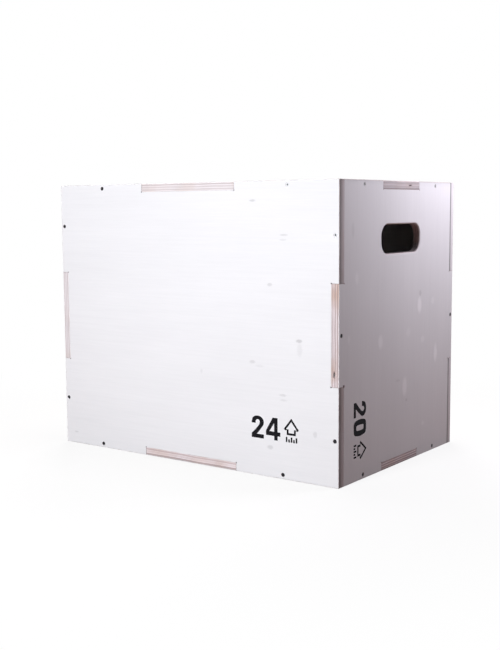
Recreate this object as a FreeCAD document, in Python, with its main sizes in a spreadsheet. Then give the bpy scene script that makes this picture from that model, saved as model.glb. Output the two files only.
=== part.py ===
# Flat-pack plyometric box of plywood, 30 x 20 x 24 inches, in millimetres.
# Six sheets lock together with one square tab in the middle of every edge and are held by countersunk
# wood screws. The origin is under the middle of the box, +Z is up, the front faces -Y.
import FreeCAD, Part
import os

import Sketcher

SIZES = {
    # Outside of the box, which are its three jump heights
    "box_width": 762.0,
    "box_depth": 508.0,
    "box_height": 609.6,
    "ply_thickness": 18.0,
    "arris_radius": 1.5,
    # Length of the tab in the middle of each edge, named for the way it runs
    "width_tab": 254.0,
    "depth_tab": 160.0,
    "height_tab": 204.0,
    # Room at each end of a tab, and the drilled relief that lets its square corners seat
    "tab_clearance": 0.4,
    "relief_radius": 1.5,
    # Hand hole in each end, its drop measured from the top of the box to the middle of the hole
    "hand_hole_length": 170.0,
    "hand_hole_height": 60.0,
    "hand_hole_corner": 25.0,
    "hand_hole_drop": 121.0,
    "hand_hole_roundover": 4.0,
    # Countersunk wood screw, its length measured over the head
    "screw_length": 45.0,
    "screw_diameter": 4.0,
    "screw_head_diameter": 8.0,
    "screw_head_rim": 0.3,
    "screw_point_length": 6.0,
    # Fit of a screw: its head below the face, room round the shank, room in the pilot and past the point
    "screw_sink": 0.3,
    "shank_clearance": 0.5,
    "pilot_clearance": 0.1,
    "pilot_overrun": 2.0,
    # How far the finger screws of a face panel are set round it, clockwise as seen from outside
    "finger_screw_stagger": 6.5,
    # Screws into the brace, from the middle of the top and bottom panels
    "brace_screw_offset": 150.0,
}

COUNTERSINK_ANGLE = 90.0
FULL_TURN = 360.0
# The corners of the hand hole stop short of a full half circle, as a share of its height
CORNER_LIMIT_SHARE = 0.48
# How closely an edge has to lie on a face to count as lying on it
MATCH = 1e-5

PLY = "Sizes.ply_thickness"
HALF_PLY = "Sizes.ply_thickness / 2"
HALF_WIDTH = "Sizes.box_width / 2"
HALF_DEPTH = "Sizes.box_depth / 2"
HALF_HEIGHT = "Sizes.box_height / 2"
INNER_WIDTH = f"({HALF_WIDTH} - {PLY})"
INNER_DEPTH = f"({HALF_DEPTH} - {PLY})"
INNER_HEIGHT = f"({HALF_HEIGHT} - {PLY})"

# Half lengths of the tabs, and of the notches that take them
WIDTH_TAB = "Sizes.width_tab / 2"
DEPTH_TAB = "Sizes.depth_tab / 2"
HEIGHT_TAB = "Sizes.height_tab / 2"
WIDTH_NOTCH = f"({WIDTH_TAB} + Sizes.tab_clearance)"
DEPTH_NOTCH = f"({DEPTH_TAB} + Sizes.tab_clearance)"
HEIGHT_NOTCH = f"({HEIGHT_TAB} + Sizes.tab_clearance)"

# Screw places: the middle of the ply along an edge, and the middle of the finger beside a tab
EDGE_WIDTH = f"({HALF_WIDTH} - {HALF_PLY})"
EDGE_DEPTH = f"({HALF_DEPTH} - {HALF_PLY})"
EDGE_HEIGHT = f"({HALF_HEIGHT} - {HALF_PLY})"
FINGER_WIDTH = f"(({HALF_WIDTH} + {WIDTH_TAB}) / 2)"
FINGER_DEPTH = f"(({INNER_DEPTH} + {DEPTH_TAB}) / 2)"
FINGER_HEIGHT = f"(({HALF_HEIGHT} + {HEIGHT_TAB}) / 2)"

HOLE_HALF_LENGTH = "Sizes.hand_hole_length / 2"
HOLE_MIDDLE = f"({HALF_HEIGHT} - Sizes.hand_hole_drop)"
HOLE_TOP = f"({HOLE_MIDDLE} + Sizes.hand_hole_height / 2)"
HOLE_BOTTOM = f"({HOLE_MIDDLE} - Sizes.hand_hole_height / 2)"
HOLE_CORNER = f"min(Sizes.hand_hole_corner; {CORNER_LIMIT_SHARE} * Sizes.hand_hole_height)"

HEAD_RADIUS = "Sizes.screw_head_diameter / 2"
SHANK_RADIUS = "Sizes.screw_diameter / 2"
PILOT_DIAMETER = "Sizes.screw_diameter + Sizes.pilot_clearance"
PILOT_DEPTH = f"Sizes.screw_length + Sizes.screw_sink - {PLY} + Sizes.pilot_overrun"
# The cone of the head starts below its rim, so the mouth of its seat is wider by both depths
SEAT_DIAMETER = "Sizes.screw_head_diameter + 2 * (Sizes.screw_sink + Sizes.screw_head_rim)"

# How each flat sheet is turned into the box: its own X, Y and outward Z, then its turn
STAND_FRONT = "rotation(vector(1; 0; 0); 90)"
STAND_BACK = "rotation(vector(0; 0; 1); 180) * rotation(vector(1; 0; 0); 90)"
STAND_RIGHT = "rotation(vector(0; 0; 1); 90) * rotation(vector(1; 0; 0); 90)"
STAND_LEFT = "rotation(vector(0; 0; 1); -90) * rotation(vector(1; 0; 0); 90)"
LIE_FACE_UP = "rotation(vector(0; 0; 1); 0)"
LIE_FACE_DOWN = "rotation(vector(1; 0; 0); 180)"

doc = FreeCAD.newDocument("plyo_box")
sheet = doc.addObject("Spreadsheet::Sheet", "Sizes")
for row, (name, size) in enumerate(SIZES.items(), start=1):
    sheet.set(f"A{row}", name)
    sheet.set(f"B{row}", str(size))
    sheet.setAlias(f"B{row}", name)
doc.recompute()


def value_of(expression):
    """The number that an expression of sizes stands for."""
    return float(sheet.evalExpression(expression))


def minus(expression):
    """The same distance on the other side of the middle."""
    return f"-({expression})"


def both_sides(expression):
    """A distance on both sides of the middle."""
    return [expression, minus(expression)]


def set_round(expression):
    """A distance on both sides of the middle, both moved along by the stagger of the finger screws."""
    return [f"{place} + Sizes.finger_screw_stagger" for place in both_sides(expression)]


def half_turn(places):
    """The same places on a sheet after half a turn in its own plane."""
    return [(minus(x), minus(y)) for x, y in places]


def origin_feature(body, role):
    """One of a body's own origin planes or axes."""
    return next(feature for feature in body.Origin.OriginFeatures if feature.Role == role)


def new_sketch(body, name, role, offset):
    """An empty sketch on an origin plane of its body, moved along the plane's normal."""
    sketch = body.newObject("Sketcher::SketchObject", name)
    sketch.AttachmentSupport = [(origin_feature(body, role), "")]
    sketch.MapMode = "FlatFace"
    sketch.setExpression("AttachmentOffset.Base.z", offset)
    return sketch


def hold_point(sketch, kind, geometry, point, expression):
    """Holds one coordinate of a sketch point at a distance from the sketch's origin."""
    distance = value_of(expression)
    index = sketch.addConstraint(Sketcher.Constraint(kind, -1, 1, geometry, point, distance))
    sketch.setExpression(f"Constraints[{index}]", expression)


def draw_polygon(sketch, corners):
    """Draws a closed outline through corners given as pairs of expressions, fully held."""
    count = len(corners)
    places = [FreeCAD.Vector(value_of(x), value_of(y), 0) for x, y in corners]
    for i in range(count):
        sketch.addGeometry(Part.LineSegment(places[i], places[(i + 1) % count]), False)
    for i in range(count):
        sketch.addConstraint(Sketcher.Constraint("Coincident", i, 2, (i + 1) % count, 1))
    upright = [corners[i][0] == corners[(i + 1) % count][0] for i in range(count)]
    level = [corners[i][1] == corners[(i + 1) % count][1] for i in range(count)]
    for i, (x, y) in enumerate(corners):
        if upright[i]:
            sketch.addConstraint(Sketcher.Constraint("Vertical", i))
        if level[i]:
            sketch.addConstraint(Sketcher.Constraint("Horizontal", i))
        if not upright[i - 1]:
            hold_point(sketch, "DistanceX", i, 1, x)
        if not level[i - 1]:
            hold_point(sketch, "DistanceY", i, 1, y)


def draw_circles(sketch, centres, diameter):
    """Draws equal circles round centres given as pairs of expressions, fully held."""
    radius = value_of(diameter) / 2
    for i, (x, y) in enumerate(centres):
        centre = FreeCAD.Vector(value_of(x), value_of(y), 0)
        sketch.addGeometry(Part.Circle(centre, FreeCAD.Vector(0, 0, 1), radius), False)
        hold_point(sketch, "DistanceX", i, 3, x)
        hold_point(sketch, "DistanceY", i, 3, y)
        if i:
            sketch.addConstraint(Sketcher.Constraint("Equal", 0, i))
    index = sketch.addConstraint(Sketcher.Constraint("Diameter", 0, 2 * radius))
    sketch.setExpression(f"Constraints[{index}]", diameter)


def cut(body, sketch, name, depth=None):
    """Pockets a sketch into its body, right through where no depth is given."""
    doc.recompute()
    volume = body.Shape.Volume
    pocket = body.newObject("PartDesign::Pocket", name)
    pocket.Profile = sketch
    if depth is None:
        pocket.Type = "ThroughAll"
    else:
        pocket.setExpression("Length", depth)
    doc.recompute()
    if body.Shape.Volume >= volume:
        raise RuntimeError(f"{name} cuts nothing from {body.Label}")
    return pocket


def round_edges(body, name, chosen, radius):
    """Fillets the edges of a body that the chosen test picks out."""
    doc.recompute()
    base = body.Tip
    edges = [f"Edge{i}" for i, edge in enumerate(base.Shape.Edges, start=1) if chosen(edge)]
    fillet = body.newObject("PartDesign::Fillet", name)
    fillet.Base = (base, edges)
    fillet.setExpression("Radius", radius)
    doc.recompute()


def lies_on(edge, axis, places):
    """Whether both ends of an edge share one of some places along an axis."""
    ends = [getattr(vertex.Point, axis) for vertex in edge.Vertexes]
    return any(all(abs(end - place) < MATCH for end in ends) for place in places)


def outer_arris(reach_x, reach_y):
    """A test for the edges of a sheet that are edges of the finished box, between two outer faces."""
    sides = {
        "x": [value_of(x) for x in both_sides(reach_x)],
        "y": [value_of(y) for y in both_sides(reach_y)],
        "z": [value_of(PLY)],
    }
    return lambda edge: sum(lies_on(edge, axis, places) for axis, places in sides.items()) > 1


def edge_seats(top, left):
    """Screw seats along the four edges of a sheet, the same again after half a turn."""
    return {"top": top, "left": left, "bottom": half_turn(top), "right": half_turn(left)}


# Screw seats on each kind of sheet, by the edge that they lie along as seen from outside
FACE = edge_seats(
    top=[(x, EDGE_HEIGHT) for x in set_round(FINGER_WIDTH)],
    left=[(minus(EDGE_WIDTH), y) for y in set_round(FINGER_HEIGHT)],
)
END = edge_seats(
    top=[(x, EDGE_HEIGHT) for x in both_sides(FINGER_DEPTH)],
    left=[(minus(EDGE_DEPTH), "0")],
)
DECK = edge_seats(top=[("0", EDGE_DEPTH)], left=[(minus(EDGE_WIDTH), "0")])
BRACE_SCREWS = both_sides("Sizes.brace_screw_offset")
DECK["middle"] = [("0", y) for y in BRACE_SCREWS]


def sheet_body(label, outline, place, stand):
    """A flat sheet of plywood cut to an outline, its outer face up, stood in its place in the box."""
    body = doc.addObject("PartDesign::Body", label)
    body.setExpression("Placement", f"placement(vector({'; '.join(place)}); {stand})")
    sketch = new_sketch(body, f"{label}_outline", "XY_Plane", "0")
    draw_polygon(sketch, outline)
    pad = body.newObject("PartDesign::Pad", f"{label}_sheet")
    pad.Profile = sketch
    pad.setExpression("Length", PLY)
    doc.recompute()
    return body


def stepped_outline(edge_x, edge_y, step_x, step_y, half_x, half_y):
    """The outline of a sheet with a tab or notch in the middle of each edge.

    The edges lie at edge_x and edge_y from the middle. In the middle of each, over half_y or half_x to
    either side, the outline steps out or in to step_x or step_y.
    """
    right = [
        (edge_x, minus(half_y)),
        (step_x, minus(half_y)),
        (step_x, half_y),
        (edge_x, half_y),
        (edge_x, edge_y),
    ]
    top = [
        (half_x, edge_y),
        (half_x, step_y),
        (minus(half_x), step_y),
        (minus(half_x), edge_y),
        (minus(edge_x), edge_y),
    ]
    left = [
        (minus(edge_x), half_y),
        (minus(step_x), half_y),
        (minus(step_x), minus(half_y)),
        (minus(edge_x), minus(half_y)),
        (minus(edge_x), minus(edge_y)),
    ]
    bottom = [
        (minus(half_x), minus(edge_y)),
        (minus(half_x), minus(step_y)),
        (half_x, minus(step_y)),
        (half_x, minus(edge_y)),
        (edge_x, minus(edge_y)),
    ]
    return right + top + left + bottom


def drill_reliefs(body, inner_x, inner_y, half_x, half_y):
    """Drills the inner corners of the steps, so that square corners seat in them."""
    corners = [(x, y) for x in both_sides(inner_x) for y in both_sides(half_y)]
    corners += [(x, y) for x in both_sides(half_x) for y in both_sides(inner_y)]
    sketch = new_sketch(body, f"{body.Label}_relief_centres", "XY_Plane", PLY)
    draw_circles(sketch, corners, "2 * Sizes.relief_radius")
    cut(body, sketch, f"{body.Label}_reliefs")


def drill_seats(body, seats):
    """Drills and countersinks the screw holes from the outer face."""
    sketch = new_sketch(body, f"{body.Label}_seat_centres", "XY_Plane", PLY)
    draw_circles(sketch, [place for row in seats.values() for place in row], "Sizes.screw_diameter")
    doc.recompute()
    volume = body.Shape.Volume
    hole = body.newObject("PartDesign::Hole", f"{body.Label}_seats")
    hole.Profile = sketch
    doc.recompute()
    hole.ThreadType = "None"
    hole.DepthType = "ThroughAll"
    hole.setExpression("Diameter", "Sizes.screw_diameter + Sizes.shank_clearance")
    hole.HoleCutType = "Countersink"
    hole.HoleCutCustomValues = True
    hole.setExpression("HoleCutDiameter", SEAT_DIAMETER)
    hole.HoleCutCountersinkAngle = COUNTERSINK_ANGLE
    doc.recompute()
    if body.Shape.Volume >= volume:
        raise RuntimeError(f"the seats cut nothing from {body.Label}")


def drill_pilots(body, role, edge, places):
    """Drills pilot holes into two opposite edges, in the middle of the ply.

    The edges face along the normal of the origin plane that role names, at the distance edge from it.
    The places are those of the first edge, and half a turn of the sheet brings them to the other.
    """
    name = f"{body.Label}_{role[:2].lower()}_pilots"
    sketch = new_sketch(body, f"{name}_centres", role, edge)
    draw_circles(sketch, [(place, HALF_PLY) for place in places], PILOT_DIAMETER)
    pocket = cut(body, sketch, name, PILOT_DEPTH)
    pattern = body.newObject("PartDesign::PolarPattern", f"{name}_both_edges")
    pattern.Originals = [pocket]
    pattern.Axis = (origin_feature(body, "Z_Axis"), [""])
    pattern.Angle = FULL_TURN
    pattern.Occurrences = 2
    body.Tip = pattern
    doc.recompute()


def cut_hand_hole(body):
    """Cuts the hand hole, with round corners and rims rounded over on both faces."""
    label = f"{body.Label}_hand_hole"
    sketch = new_sketch(body, f"{label}_outline", "XY_Plane", PLY)
    left, right = minus(HOLE_HALF_LENGTH), HOLE_HALF_LENGTH
    draw_polygon(sketch, [(left, HOLE_BOTTOM), (right, HOLE_BOTTOM), (right, HOLE_TOP), (left, HOLE_TOP)])
    cut(body, sketch, label)
    ends = [value_of(left), value_of(right)]
    levels = [value_of(HOLE_BOTTOM), value_of(HOLE_TOP)]
    faces = [0, value_of(PLY)]

    def is_corner(edge):
        return lies_on(edge, "x", ends) and lies_on(edge, "y", levels)

    def is_rim(edge):
        inside = all(
            abs(vertex.X) < ends[1] + MATCH and levels[0] - MATCH < vertex.Y < levels[1] + MATCH
            for vertex in edge.Vertexes
        )
        return inside and lies_on(edge, "z", faces)

    round_edges(body, f"{label}_corners", is_corner, HOLE_CORNER)
    round_edges(body, f"{label}_rims", is_rim, "Sizes.hand_hole_roundover")


def face_panel(label, place, stand):
    """Front or back: the full face of the box, notched in the middle of each edge."""
    outline = stepped_outline(
        HALF_WIDTH, HALF_HEIGHT, INNER_WIDTH, INNER_HEIGHT, WIDTH_NOTCH, HEIGHT_NOTCH
    )
    body = sheet_body(label, outline, place, stand)
    round_edges(body, f"{label}_arris", outer_arris(HALF_WIDTH, HALF_HEIGHT), "Sizes.arris_radius")
    drill_reliefs(body, INNER_WIDTH, INNER_HEIGHT, WIDTH_NOTCH, HEIGHT_NOTCH)
    drill_seats(body, FACE)
    drill_pilots(body, "XZ_Plane", INNER_HEIGHT, ["0"])
    drill_pilots(body, "YZ_Plane", INNER_WIDTH, ["0"])
    return body


def end_panel(label, place, stand):
    """Left or right end: tabs on its upright edges, notched top and bottom, with a hand hole."""
    outline = stepped_outline(
        INNER_DEPTH, HALF_HEIGHT, HALF_DEPTH, INNER_HEIGHT, DEPTH_NOTCH, HEIGHT_TAB
    )
    body = sheet_body(label, outline, place, stand)
    round_edges(body, f"{label}_arris", outer_arris(HALF_DEPTH, HALF_HEIGHT), "Sizes.arris_radius")
    drill_reliefs(body, INNER_DEPTH, INNER_HEIGHT, DEPTH_NOTCH, HEIGHT_TAB)
    drill_seats(body, END)
    drill_pilots(body, "XZ_Plane", INNER_HEIGHT, ["0"])
    drill_pilots(body, "YZ_Plane", INNER_DEPTH, set_round(FINGER_HEIGHT))
    cut_hand_hole(body)
    return body


def deck_panel(label, place, stand):
    """Top or bottom: tabs on all four edges, screwed to the brace along its middle."""
    outline = stepped_outline(INNER_WIDTH, INNER_DEPTH, HALF_WIDTH, HALF_DEPTH, WIDTH_TAB, DEPTH_TAB)
    body = sheet_body(label, outline, place, stand)
    round_edges(body, f"{label}_arris", outer_arris(HALF_WIDTH, HALF_DEPTH), "Sizes.arris_radius")
    drill_reliefs(body, INNER_WIDTH, INNER_DEPTH, WIDTH_TAB, DEPTH_TAB)
    drill_seats(body, DECK)
    drill_pilots(body, "XZ_Plane", INNER_DEPTH, set_round(FINGER_WIDTH))
    drill_pilots(body, "YZ_Plane", INNER_WIDTH, both_sides(FINGER_DEPTH))
    return body


def brace_panel(label):
    """The brace across the middle, filling the box from front to back and top to bottom."""
    outline = [
        (INNER_DEPTH, INNER_HEIGHT),
        (minus(INNER_DEPTH), INNER_HEIGHT),
        (minus(INNER_DEPTH), minus(INNER_HEIGHT)),
        (INNER_DEPTH, minus(INNER_HEIGHT)),
    ]
    body = sheet_body(label, outline, [minus(HALF_PLY), "0", HALF_HEIGHT], STAND_RIGHT)
    drill_pilots(body, "XZ_Plane", INNER_HEIGHT, BRACE_SCREWS)
    return body


def wood_screw(label):
    """One countersunk wood screw, head up, with the flat of its head at the origin."""
    cone_end = f"-(Sizes.screw_head_rim + {HEAD_RADIUS} - {SHANK_RADIUS})"
    point_start = "Sizes.screw_point_length - Sizes.screw_length"
    profile = [
        ("0", "0"),
        (HEAD_RADIUS, "0"),
        (HEAD_RADIUS, "-Sizes.screw_head_rim"),
        (SHANK_RADIUS, cone_end),
        (SHANK_RADIUS, point_start),
        ("0", "-Sizes.screw_length"),
    ]
    body = doc.addObject("PartDesign::Body", label)
    sketch = new_sketch(body, f"{label}_profile", "XZ_Plane", "0")
    draw_polygon(sketch, profile)
    turned = body.newObject("PartDesign::Revolution", f"{label}_turned")
    turned.Profile = sketch
    turned.ReferenceAxis = (sketch, ["V_Axis"])
    turned.Angle = FULL_TURN
    doc.recompute()
    return body


def screw_group(label, screw, edges):
    """The screws of one joint: copies of one screw, each driven into a seat on an edge of a panel."""
    depth = f"{PLY} - Sizes.screw_sink"
    seats = [(panel, x, y) for panel, places in edges for x, y in places]
    copies = []
    for i, (panel, x, y) in enumerate(seats, start=1):
        link = doc.addObject("App::Link", f"{label}_{i}")
        link.LinkedObject = screw
        seat = f"placement(vector({x}; {y}; {depth}); {LIE_FACE_UP})"
        link.setExpression("Placement", f"{panel.Name}.Placement * {seat}")
        copies.append(link)
    group = doc.addObject("Part::Compound", label)
    group.Links = copies
    return group


front = face_panel("front_panel", ["0", minus(INNER_DEPTH), HALF_HEIGHT], STAND_FRONT)
back = face_panel("back_panel", ["0", INNER_DEPTH, HALF_HEIGHT], STAND_BACK)
right = end_panel("right_panel", [INNER_WIDTH, "0", HALF_HEIGHT], STAND_RIGHT)
left = end_panel("left_panel", [minus(INNER_WIDTH), "0", HALF_HEIGHT], STAND_LEFT)
top = deck_panel("top_panel", ["0", "0", f"Sizes.box_height - {PLY}"], LIE_FACE_UP)
bottom = deck_panel("bottom_panel", ["0", "0", PLY], LIE_FACE_DOWN)
brace = brace_panel("centre_brace")
screw = wood_screw("wood_screw")

# The two sheet edges that meet at each joint, each named as seen from outside its own sheet
joints = {
    "front_top_screws": [(front, FACE["top"]), (top, DECK["bottom"])],
    "front_bottom_screws": [(front, FACE["bottom"]), (bottom, DECK["top"])],
    "front_left_screws": [(front, FACE["left"]), (left, END["right"])],
    "front_right_screws": [(front, FACE["right"]), (right, END["left"])],
    "back_top_screws": [(back, FACE["top"]), (top, DECK["top"])],
    "back_bottom_screws": [(back, FACE["bottom"]), (bottom, DECK["bottom"])],
    "back_left_screws": [(back, FACE["right"]), (left, END["left"])],
    "back_right_screws": [(back, FACE["left"]), (right, END["right"])],
    "left_top_screws": [(left, END["top"]), (top, DECK["left"])],
    "left_bottom_screws": [(left, END["bottom"]), (bottom, DECK["left"])],
    "right_top_screws": [(right, END["top"]), (top, DECK["right"])],
    "right_bottom_screws": [(right, END["bottom"]), (bottom, DECK["right"])],
    "brace_top_screws": [(top, DECK["middle"])],
    "brace_bottom_screws": [(bottom, DECK["middle"])],
}
groups = [screw_group(label, screw, edges) for label, edges in joints.items()]
doc.recompute()

for item in doc.Objects:
    if "Invalid" in item.State or "Error" in item.State:
        raise RuntimeError(f"{item.Label} did not recompute: {item.State}")

pieces = [front, back, right, left, top, bottom, brace] + groups
for piece in pieces:
    if piece.Shape.isNull() or not piece.Shape.isValid() or not piece.Shape.Solids:
        raise RuntimeError(f"{piece.Label} has no sound solid")

os.makedirs("parts", exist_ok=True)
for piece in pieces:
    piece.Shape.exportStep(f"parts/{piece.Label}.step")
    print(piece.Label, len(piece.Shape.Solids), round(piece.Shape.Volume), piece.Shape.BoundBox)
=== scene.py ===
# A flat-pack plywood jump box in a white studio.
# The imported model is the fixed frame: metres, +Z up, the box standing on Z = 0 with its front towards -Y.
import logging
import math
from collections.abc import Callable, Iterator
from contextlib import contextmanager
from dataclasses import dataclass, replace
from enum import Enum
from functools import partial
from typing import Any

import bmesh
import bpy
from bpy.types import Material, NodeSocket, NodeTree, Object
from mathutils import Euler, Matrix, Vector


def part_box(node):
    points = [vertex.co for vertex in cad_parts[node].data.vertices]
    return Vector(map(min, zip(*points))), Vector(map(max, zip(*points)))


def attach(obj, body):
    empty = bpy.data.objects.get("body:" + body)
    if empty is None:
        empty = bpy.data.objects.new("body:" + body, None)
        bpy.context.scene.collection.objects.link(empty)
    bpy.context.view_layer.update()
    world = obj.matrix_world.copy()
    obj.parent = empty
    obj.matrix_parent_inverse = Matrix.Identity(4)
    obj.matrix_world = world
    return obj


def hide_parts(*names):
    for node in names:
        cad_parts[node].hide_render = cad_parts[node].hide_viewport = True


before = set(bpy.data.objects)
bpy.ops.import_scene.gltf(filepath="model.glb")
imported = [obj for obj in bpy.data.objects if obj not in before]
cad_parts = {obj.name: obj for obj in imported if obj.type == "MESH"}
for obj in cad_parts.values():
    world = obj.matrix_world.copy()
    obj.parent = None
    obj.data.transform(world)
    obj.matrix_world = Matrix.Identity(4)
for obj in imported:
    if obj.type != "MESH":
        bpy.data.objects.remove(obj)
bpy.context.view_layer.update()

LOG = logging.getLogger("jump_box")

MM = 0.001
BODY = "root"
# How closely a point has to lie on a plane to count as lying on it
MATCH = 0.02 * MM
# Corners that a cut leaves closer together than this become one
CRUMB = 0.005 * MM
# Sharper edges than this stay crisp when a piece is shaded smooth
CRISP_ANGLE = math.radians(32.0)
# Faces that meet at less than this are one flat face
FLAT_ANGLE = math.radians(1.0)
# A face whose normal has a Z below this looks straight down
DOWNWARD = -0.9
GOLDEN_TURN = math.radians(137.5)

# A call that adds a node to one tree, and what an input of a node takes
AddNode = Callable[..., NodeSocket]
Signal = NodeSocket | float


class Grain(Enum):
    """Which way the face veneer of a sheet runs, as a turn of its pattern in the sheet's own plane."""

    LEVEL = 0.0
    UPRIGHT = math.pi / 2


class Stand(Enum):
    """How a flat sheet is turned into the box: the turns about X and then Z, in degrees."""

    FRONT = (90.0, 0.0)
    BACK = (90.0, 180.0)
    RIGHT = (90.0, 90.0)
    LEFT = (90.0, -90.0)
    TOP = (0.0, 0.0)
    BOTTOM = (180.0, 0.0)

    def turn(self) -> Matrix:
        """The turn as a matrix."""
        about_x, about_z = (math.radians(angle) for angle in self.value)
        return Euler((about_x, 0.0, about_z)).to_matrix().to_4x4()


class Bend(Enum):
    """How a printed outline passes a point, as the kind of handle that a curve has there."""

    CORNER = "VECTOR"
    ROUND = "AUTO"


# A stretch of a printed outline: how it passes its points, and the points
Stretch = tuple[Bend, list[tuple[float, float]]]


# Small tools that the classes share


def to_linear(code: str) -> tuple[float, float, float, float]:
    """Turns an sRGB hex value into the linear colour that a shader takes.

    Args:
        code: The colour as "#RRGGBB".

    Returns:
        Linear red, green, blue and a full alpha.
    """
    shares = [int(code[i:i + 2], 16) / 255 for i in (1, 3, 5)]
    red, green, blue = (s / 12.92 if s <= 0.04045 else ((s + 0.055) / 1.055) ** 2.4 for s in shares)
    return red, green, blue, 1.0


def add_node(
    tree: NodeTree,
    kind: str,
    inputs: tuple[Any, ...] | dict[int | str, Any] = (),
    out: int | str = 0,
    **settings: Any,
) -> NodeSocket | None:
    """Adds a node to a tree, with its settings, values and links.

    Args:
        tree: The node tree of a material or a world.
        kind: The node's type, after the "ShaderNode" that all of them start with.
        inputs: Values for its sockets, in order or by name or number; an output socket is linked instead.
        out: The output that is wanted, by name or number.
        **settings: Properties of the node itself.

    Returns:
        That output, or None from a node that ends a tree.
    """
    node = tree.nodes.new(f"ShaderNode{kind}")
    for name, value in settings.items():
        setattr(node, name, value)
    for socket, value in inputs.items() if isinstance(inputs, dict) else enumerate(inputs):
        if isinstance(value, NodeSocket):
            tree.links.new(value, node.inputs[socket])
        else:
            node.inputs[socket].default_value = value
    return node.outputs[out] if node.outputs else None


def new_material(name: str) -> tuple[Material, AddNode]:
    """Starts an empty node material.

    Args:
        name: The material's name.

    Returns:
        The material and a call that adds nodes to it.
    """
    material = bpy.data.materials.new(name)
    material.use_nodes = True
    material.node_tree.nodes.clear()
    return material, partial(add_node, material.node_tree)


def seen_directly(add: AddNode) -> NodeSocket:
    """Tells what the camera, a mirror or glass sees from what only lights the box.

    Args:
        add: Adds a node to the tree.

    Returns:
        One for what is seen and zero for the rest.
    """
    path = add("LightPath").node.outputs
    seen = path["Is Camera Ray"]
    for name in ("Is Glossy Ray", "Is Transmission Ray"):
        seen = add("Math", (seen, path[name]), operation="MAXIMUM")
    return seen


def take(*pieces: Object) -> None:
    """Selects just these pieces, because an operator acts on all that is selected.

    Args:
        *pieces: The pieces, of which the first becomes active; none of them leaves nothing selected.
    """
    bpy.ops.object.select_all(action="DESELECT")
    for piece in pieces:
        piece.select_set(True)
    if pieces:
        bpy.context.view_layer.objects.active = pieces[0]


def start(primitive: Callable[..., Any], **sizes: Any) -> Object:
    """Starts a piece from a primitive, with nothing else selected.

    Args:
        primitive: The operator that adds it.
        **sizes: Its sizes and its place.

    Returns:
        The new object.
    """
    take()
    primitive(**sizes)
    return bpy.context.object


@contextmanager
def editing(piece: Object) -> Iterator[None]:
    """Opens a piece in edit mode with everything selected, and closes it again.

    Args:
        piece: The mesh object to edit.

    Yields:
        Nothing: the operators find the open mesh by themselves.
    """
    take(piece)
    bpy.ops.object.mode_set(mode="EDIT")
    bpy.ops.mesh.select_all(action="SELECT")
    yield
    bpy.ops.object.mode_set(mode="OBJECT")


def start_flat(width: float, height: float, **place: Any) -> Object:
    """Starts a flat piece as a rectangle.

    Args:
        width: Its size along X.
        height: Its size along Y.
        **place: Where its middle lies, if that isn't the origin.

    Returns:
        The rectangle.
    """
    flat = start(bpy.ops.mesh.primitive_plane_add, size=1.0, **place)
    with editing(flat):
        bpy.ops.transform.resize(value=(width, height, 1.0))
    return flat


def pick(piece: Object, mode: str, test: Callable[[Any], bool]) -> None:
    """Selects the faces or edges of a piece in edit mode that pass a test.

    Args:
        piece: The mesh object that is being edited.
        mode: "FACE" or "EDGE".
        test: Says whether a face or an edge is wanted.
    """
    bpy.ops.mesh.select_mode(type=mode)
    bpy.ops.mesh.select_all(action="DESELECT")
    mesh = bmesh.from_edit_mesh(piece.data)
    for element in mesh.faces if mode == "FACE" else mesh.edges:
        if test(element):
            element.select_set(True)
    mesh.select_flush_mode()
    bmesh.update_edit_mesh(piece.data)


def looks_down(face: bmesh.types.BMFace) -> bool:
    """Says whether a face looks straight down."""
    return face.normal.z < DOWNWARD


def extrude_edges(x: float, y: float, z: float) -> None:
    """Extrudes the selected edges in edit mode by a distance along each axis."""
    bpy.ops.mesh.extrude_edges_move(TRANSFORM_OT_translate={"value": (x, y, z)})


def turn_outwards() -> None:
    """Turns all faces outwards in edit mode."""
    bpy.ops.mesh.select_all(action="SELECT")
    bpy.ops.mesh.normals_make_consistent(inside=False)


def thicken(rise: float) -> None:
    """Makes a closed solid of a flat mesh in edit mode.

    Args:
        rise: How thick it becomes, upwards.
    """
    bpy.ops.mesh.select_all(action="SELECT")
    bpy.ops.mesh.extrude_region_move(TRANSFORM_OT_translate={"value": (0.0, 0.0, rise)})
    turn_outwards()


def join(pieces: list[Object]) -> Object:
    """Makes one piece of several.

    Args:
        pieces: The pieces, of which the first takes up the others.

    Returns:
        The joined piece.
    """
    take(*pieces)
    if len(pieces) > 1:
        bpy.ops.object.join()
    return pieces[0]


def apply_modifier(piece: Object, kind: str, **settings: Any) -> None:
    """Adds a modifier to a piece and applies it at once.

    Args:
        piece: The piece.
        kind: The modifier's type.
        **settings: Its properties.
    """
    take(piece)
    modifier = piece.modifiers.new(kind.lower(), kind)
    for name, value in settings.items():
        setattr(modifier, name, value)
    bpy.ops.object.modifier_apply(modifier=modifier.name)


def cut_with(piece: Object, cutters: list[Object]) -> None:
    """Cuts solid tools out of a piece and throws the tools away.

    Args:
        piece: The piece to cut.
        cutters: Closed meshes, which are joined into one tool first.
    """
    if not cutters:
        return
    tool = join(cutters)
    apply_modifier(piece, "BOOLEAN", operation="DIFFERENCE", solver="EXACT", object=tool, use_self=True)
    bpy.data.objects.remove(tool)
    with editing(piece):
        bpy.ops.mesh.remove_doubles(threshold=CRUMB)


def set_place(piece: Object, place: Matrix) -> None:
    """Moves a piece and puts its place into its mesh, so that its object sits at the origin.

    Args:
        piece: The piece.
        place: Where it goes.
    """
    piece.matrix_world = place
    take(piece)
    bpy.ops.object.transform_apply(location=True, rotation=True, scale=True)


def shade(piece: Object) -> None:
    """Shades round stretches smooth and keeps flat faces flat up to their eased edges.

    Args:
        piece: The piece.
    """
    take(piece)
    bpy.ops.object.shade_smooth_by_angle(angle=CRISP_ANGLE)
    apply_modifier(piece, "WEIGHTED_NORMAL", keep_sharp=True)


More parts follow.
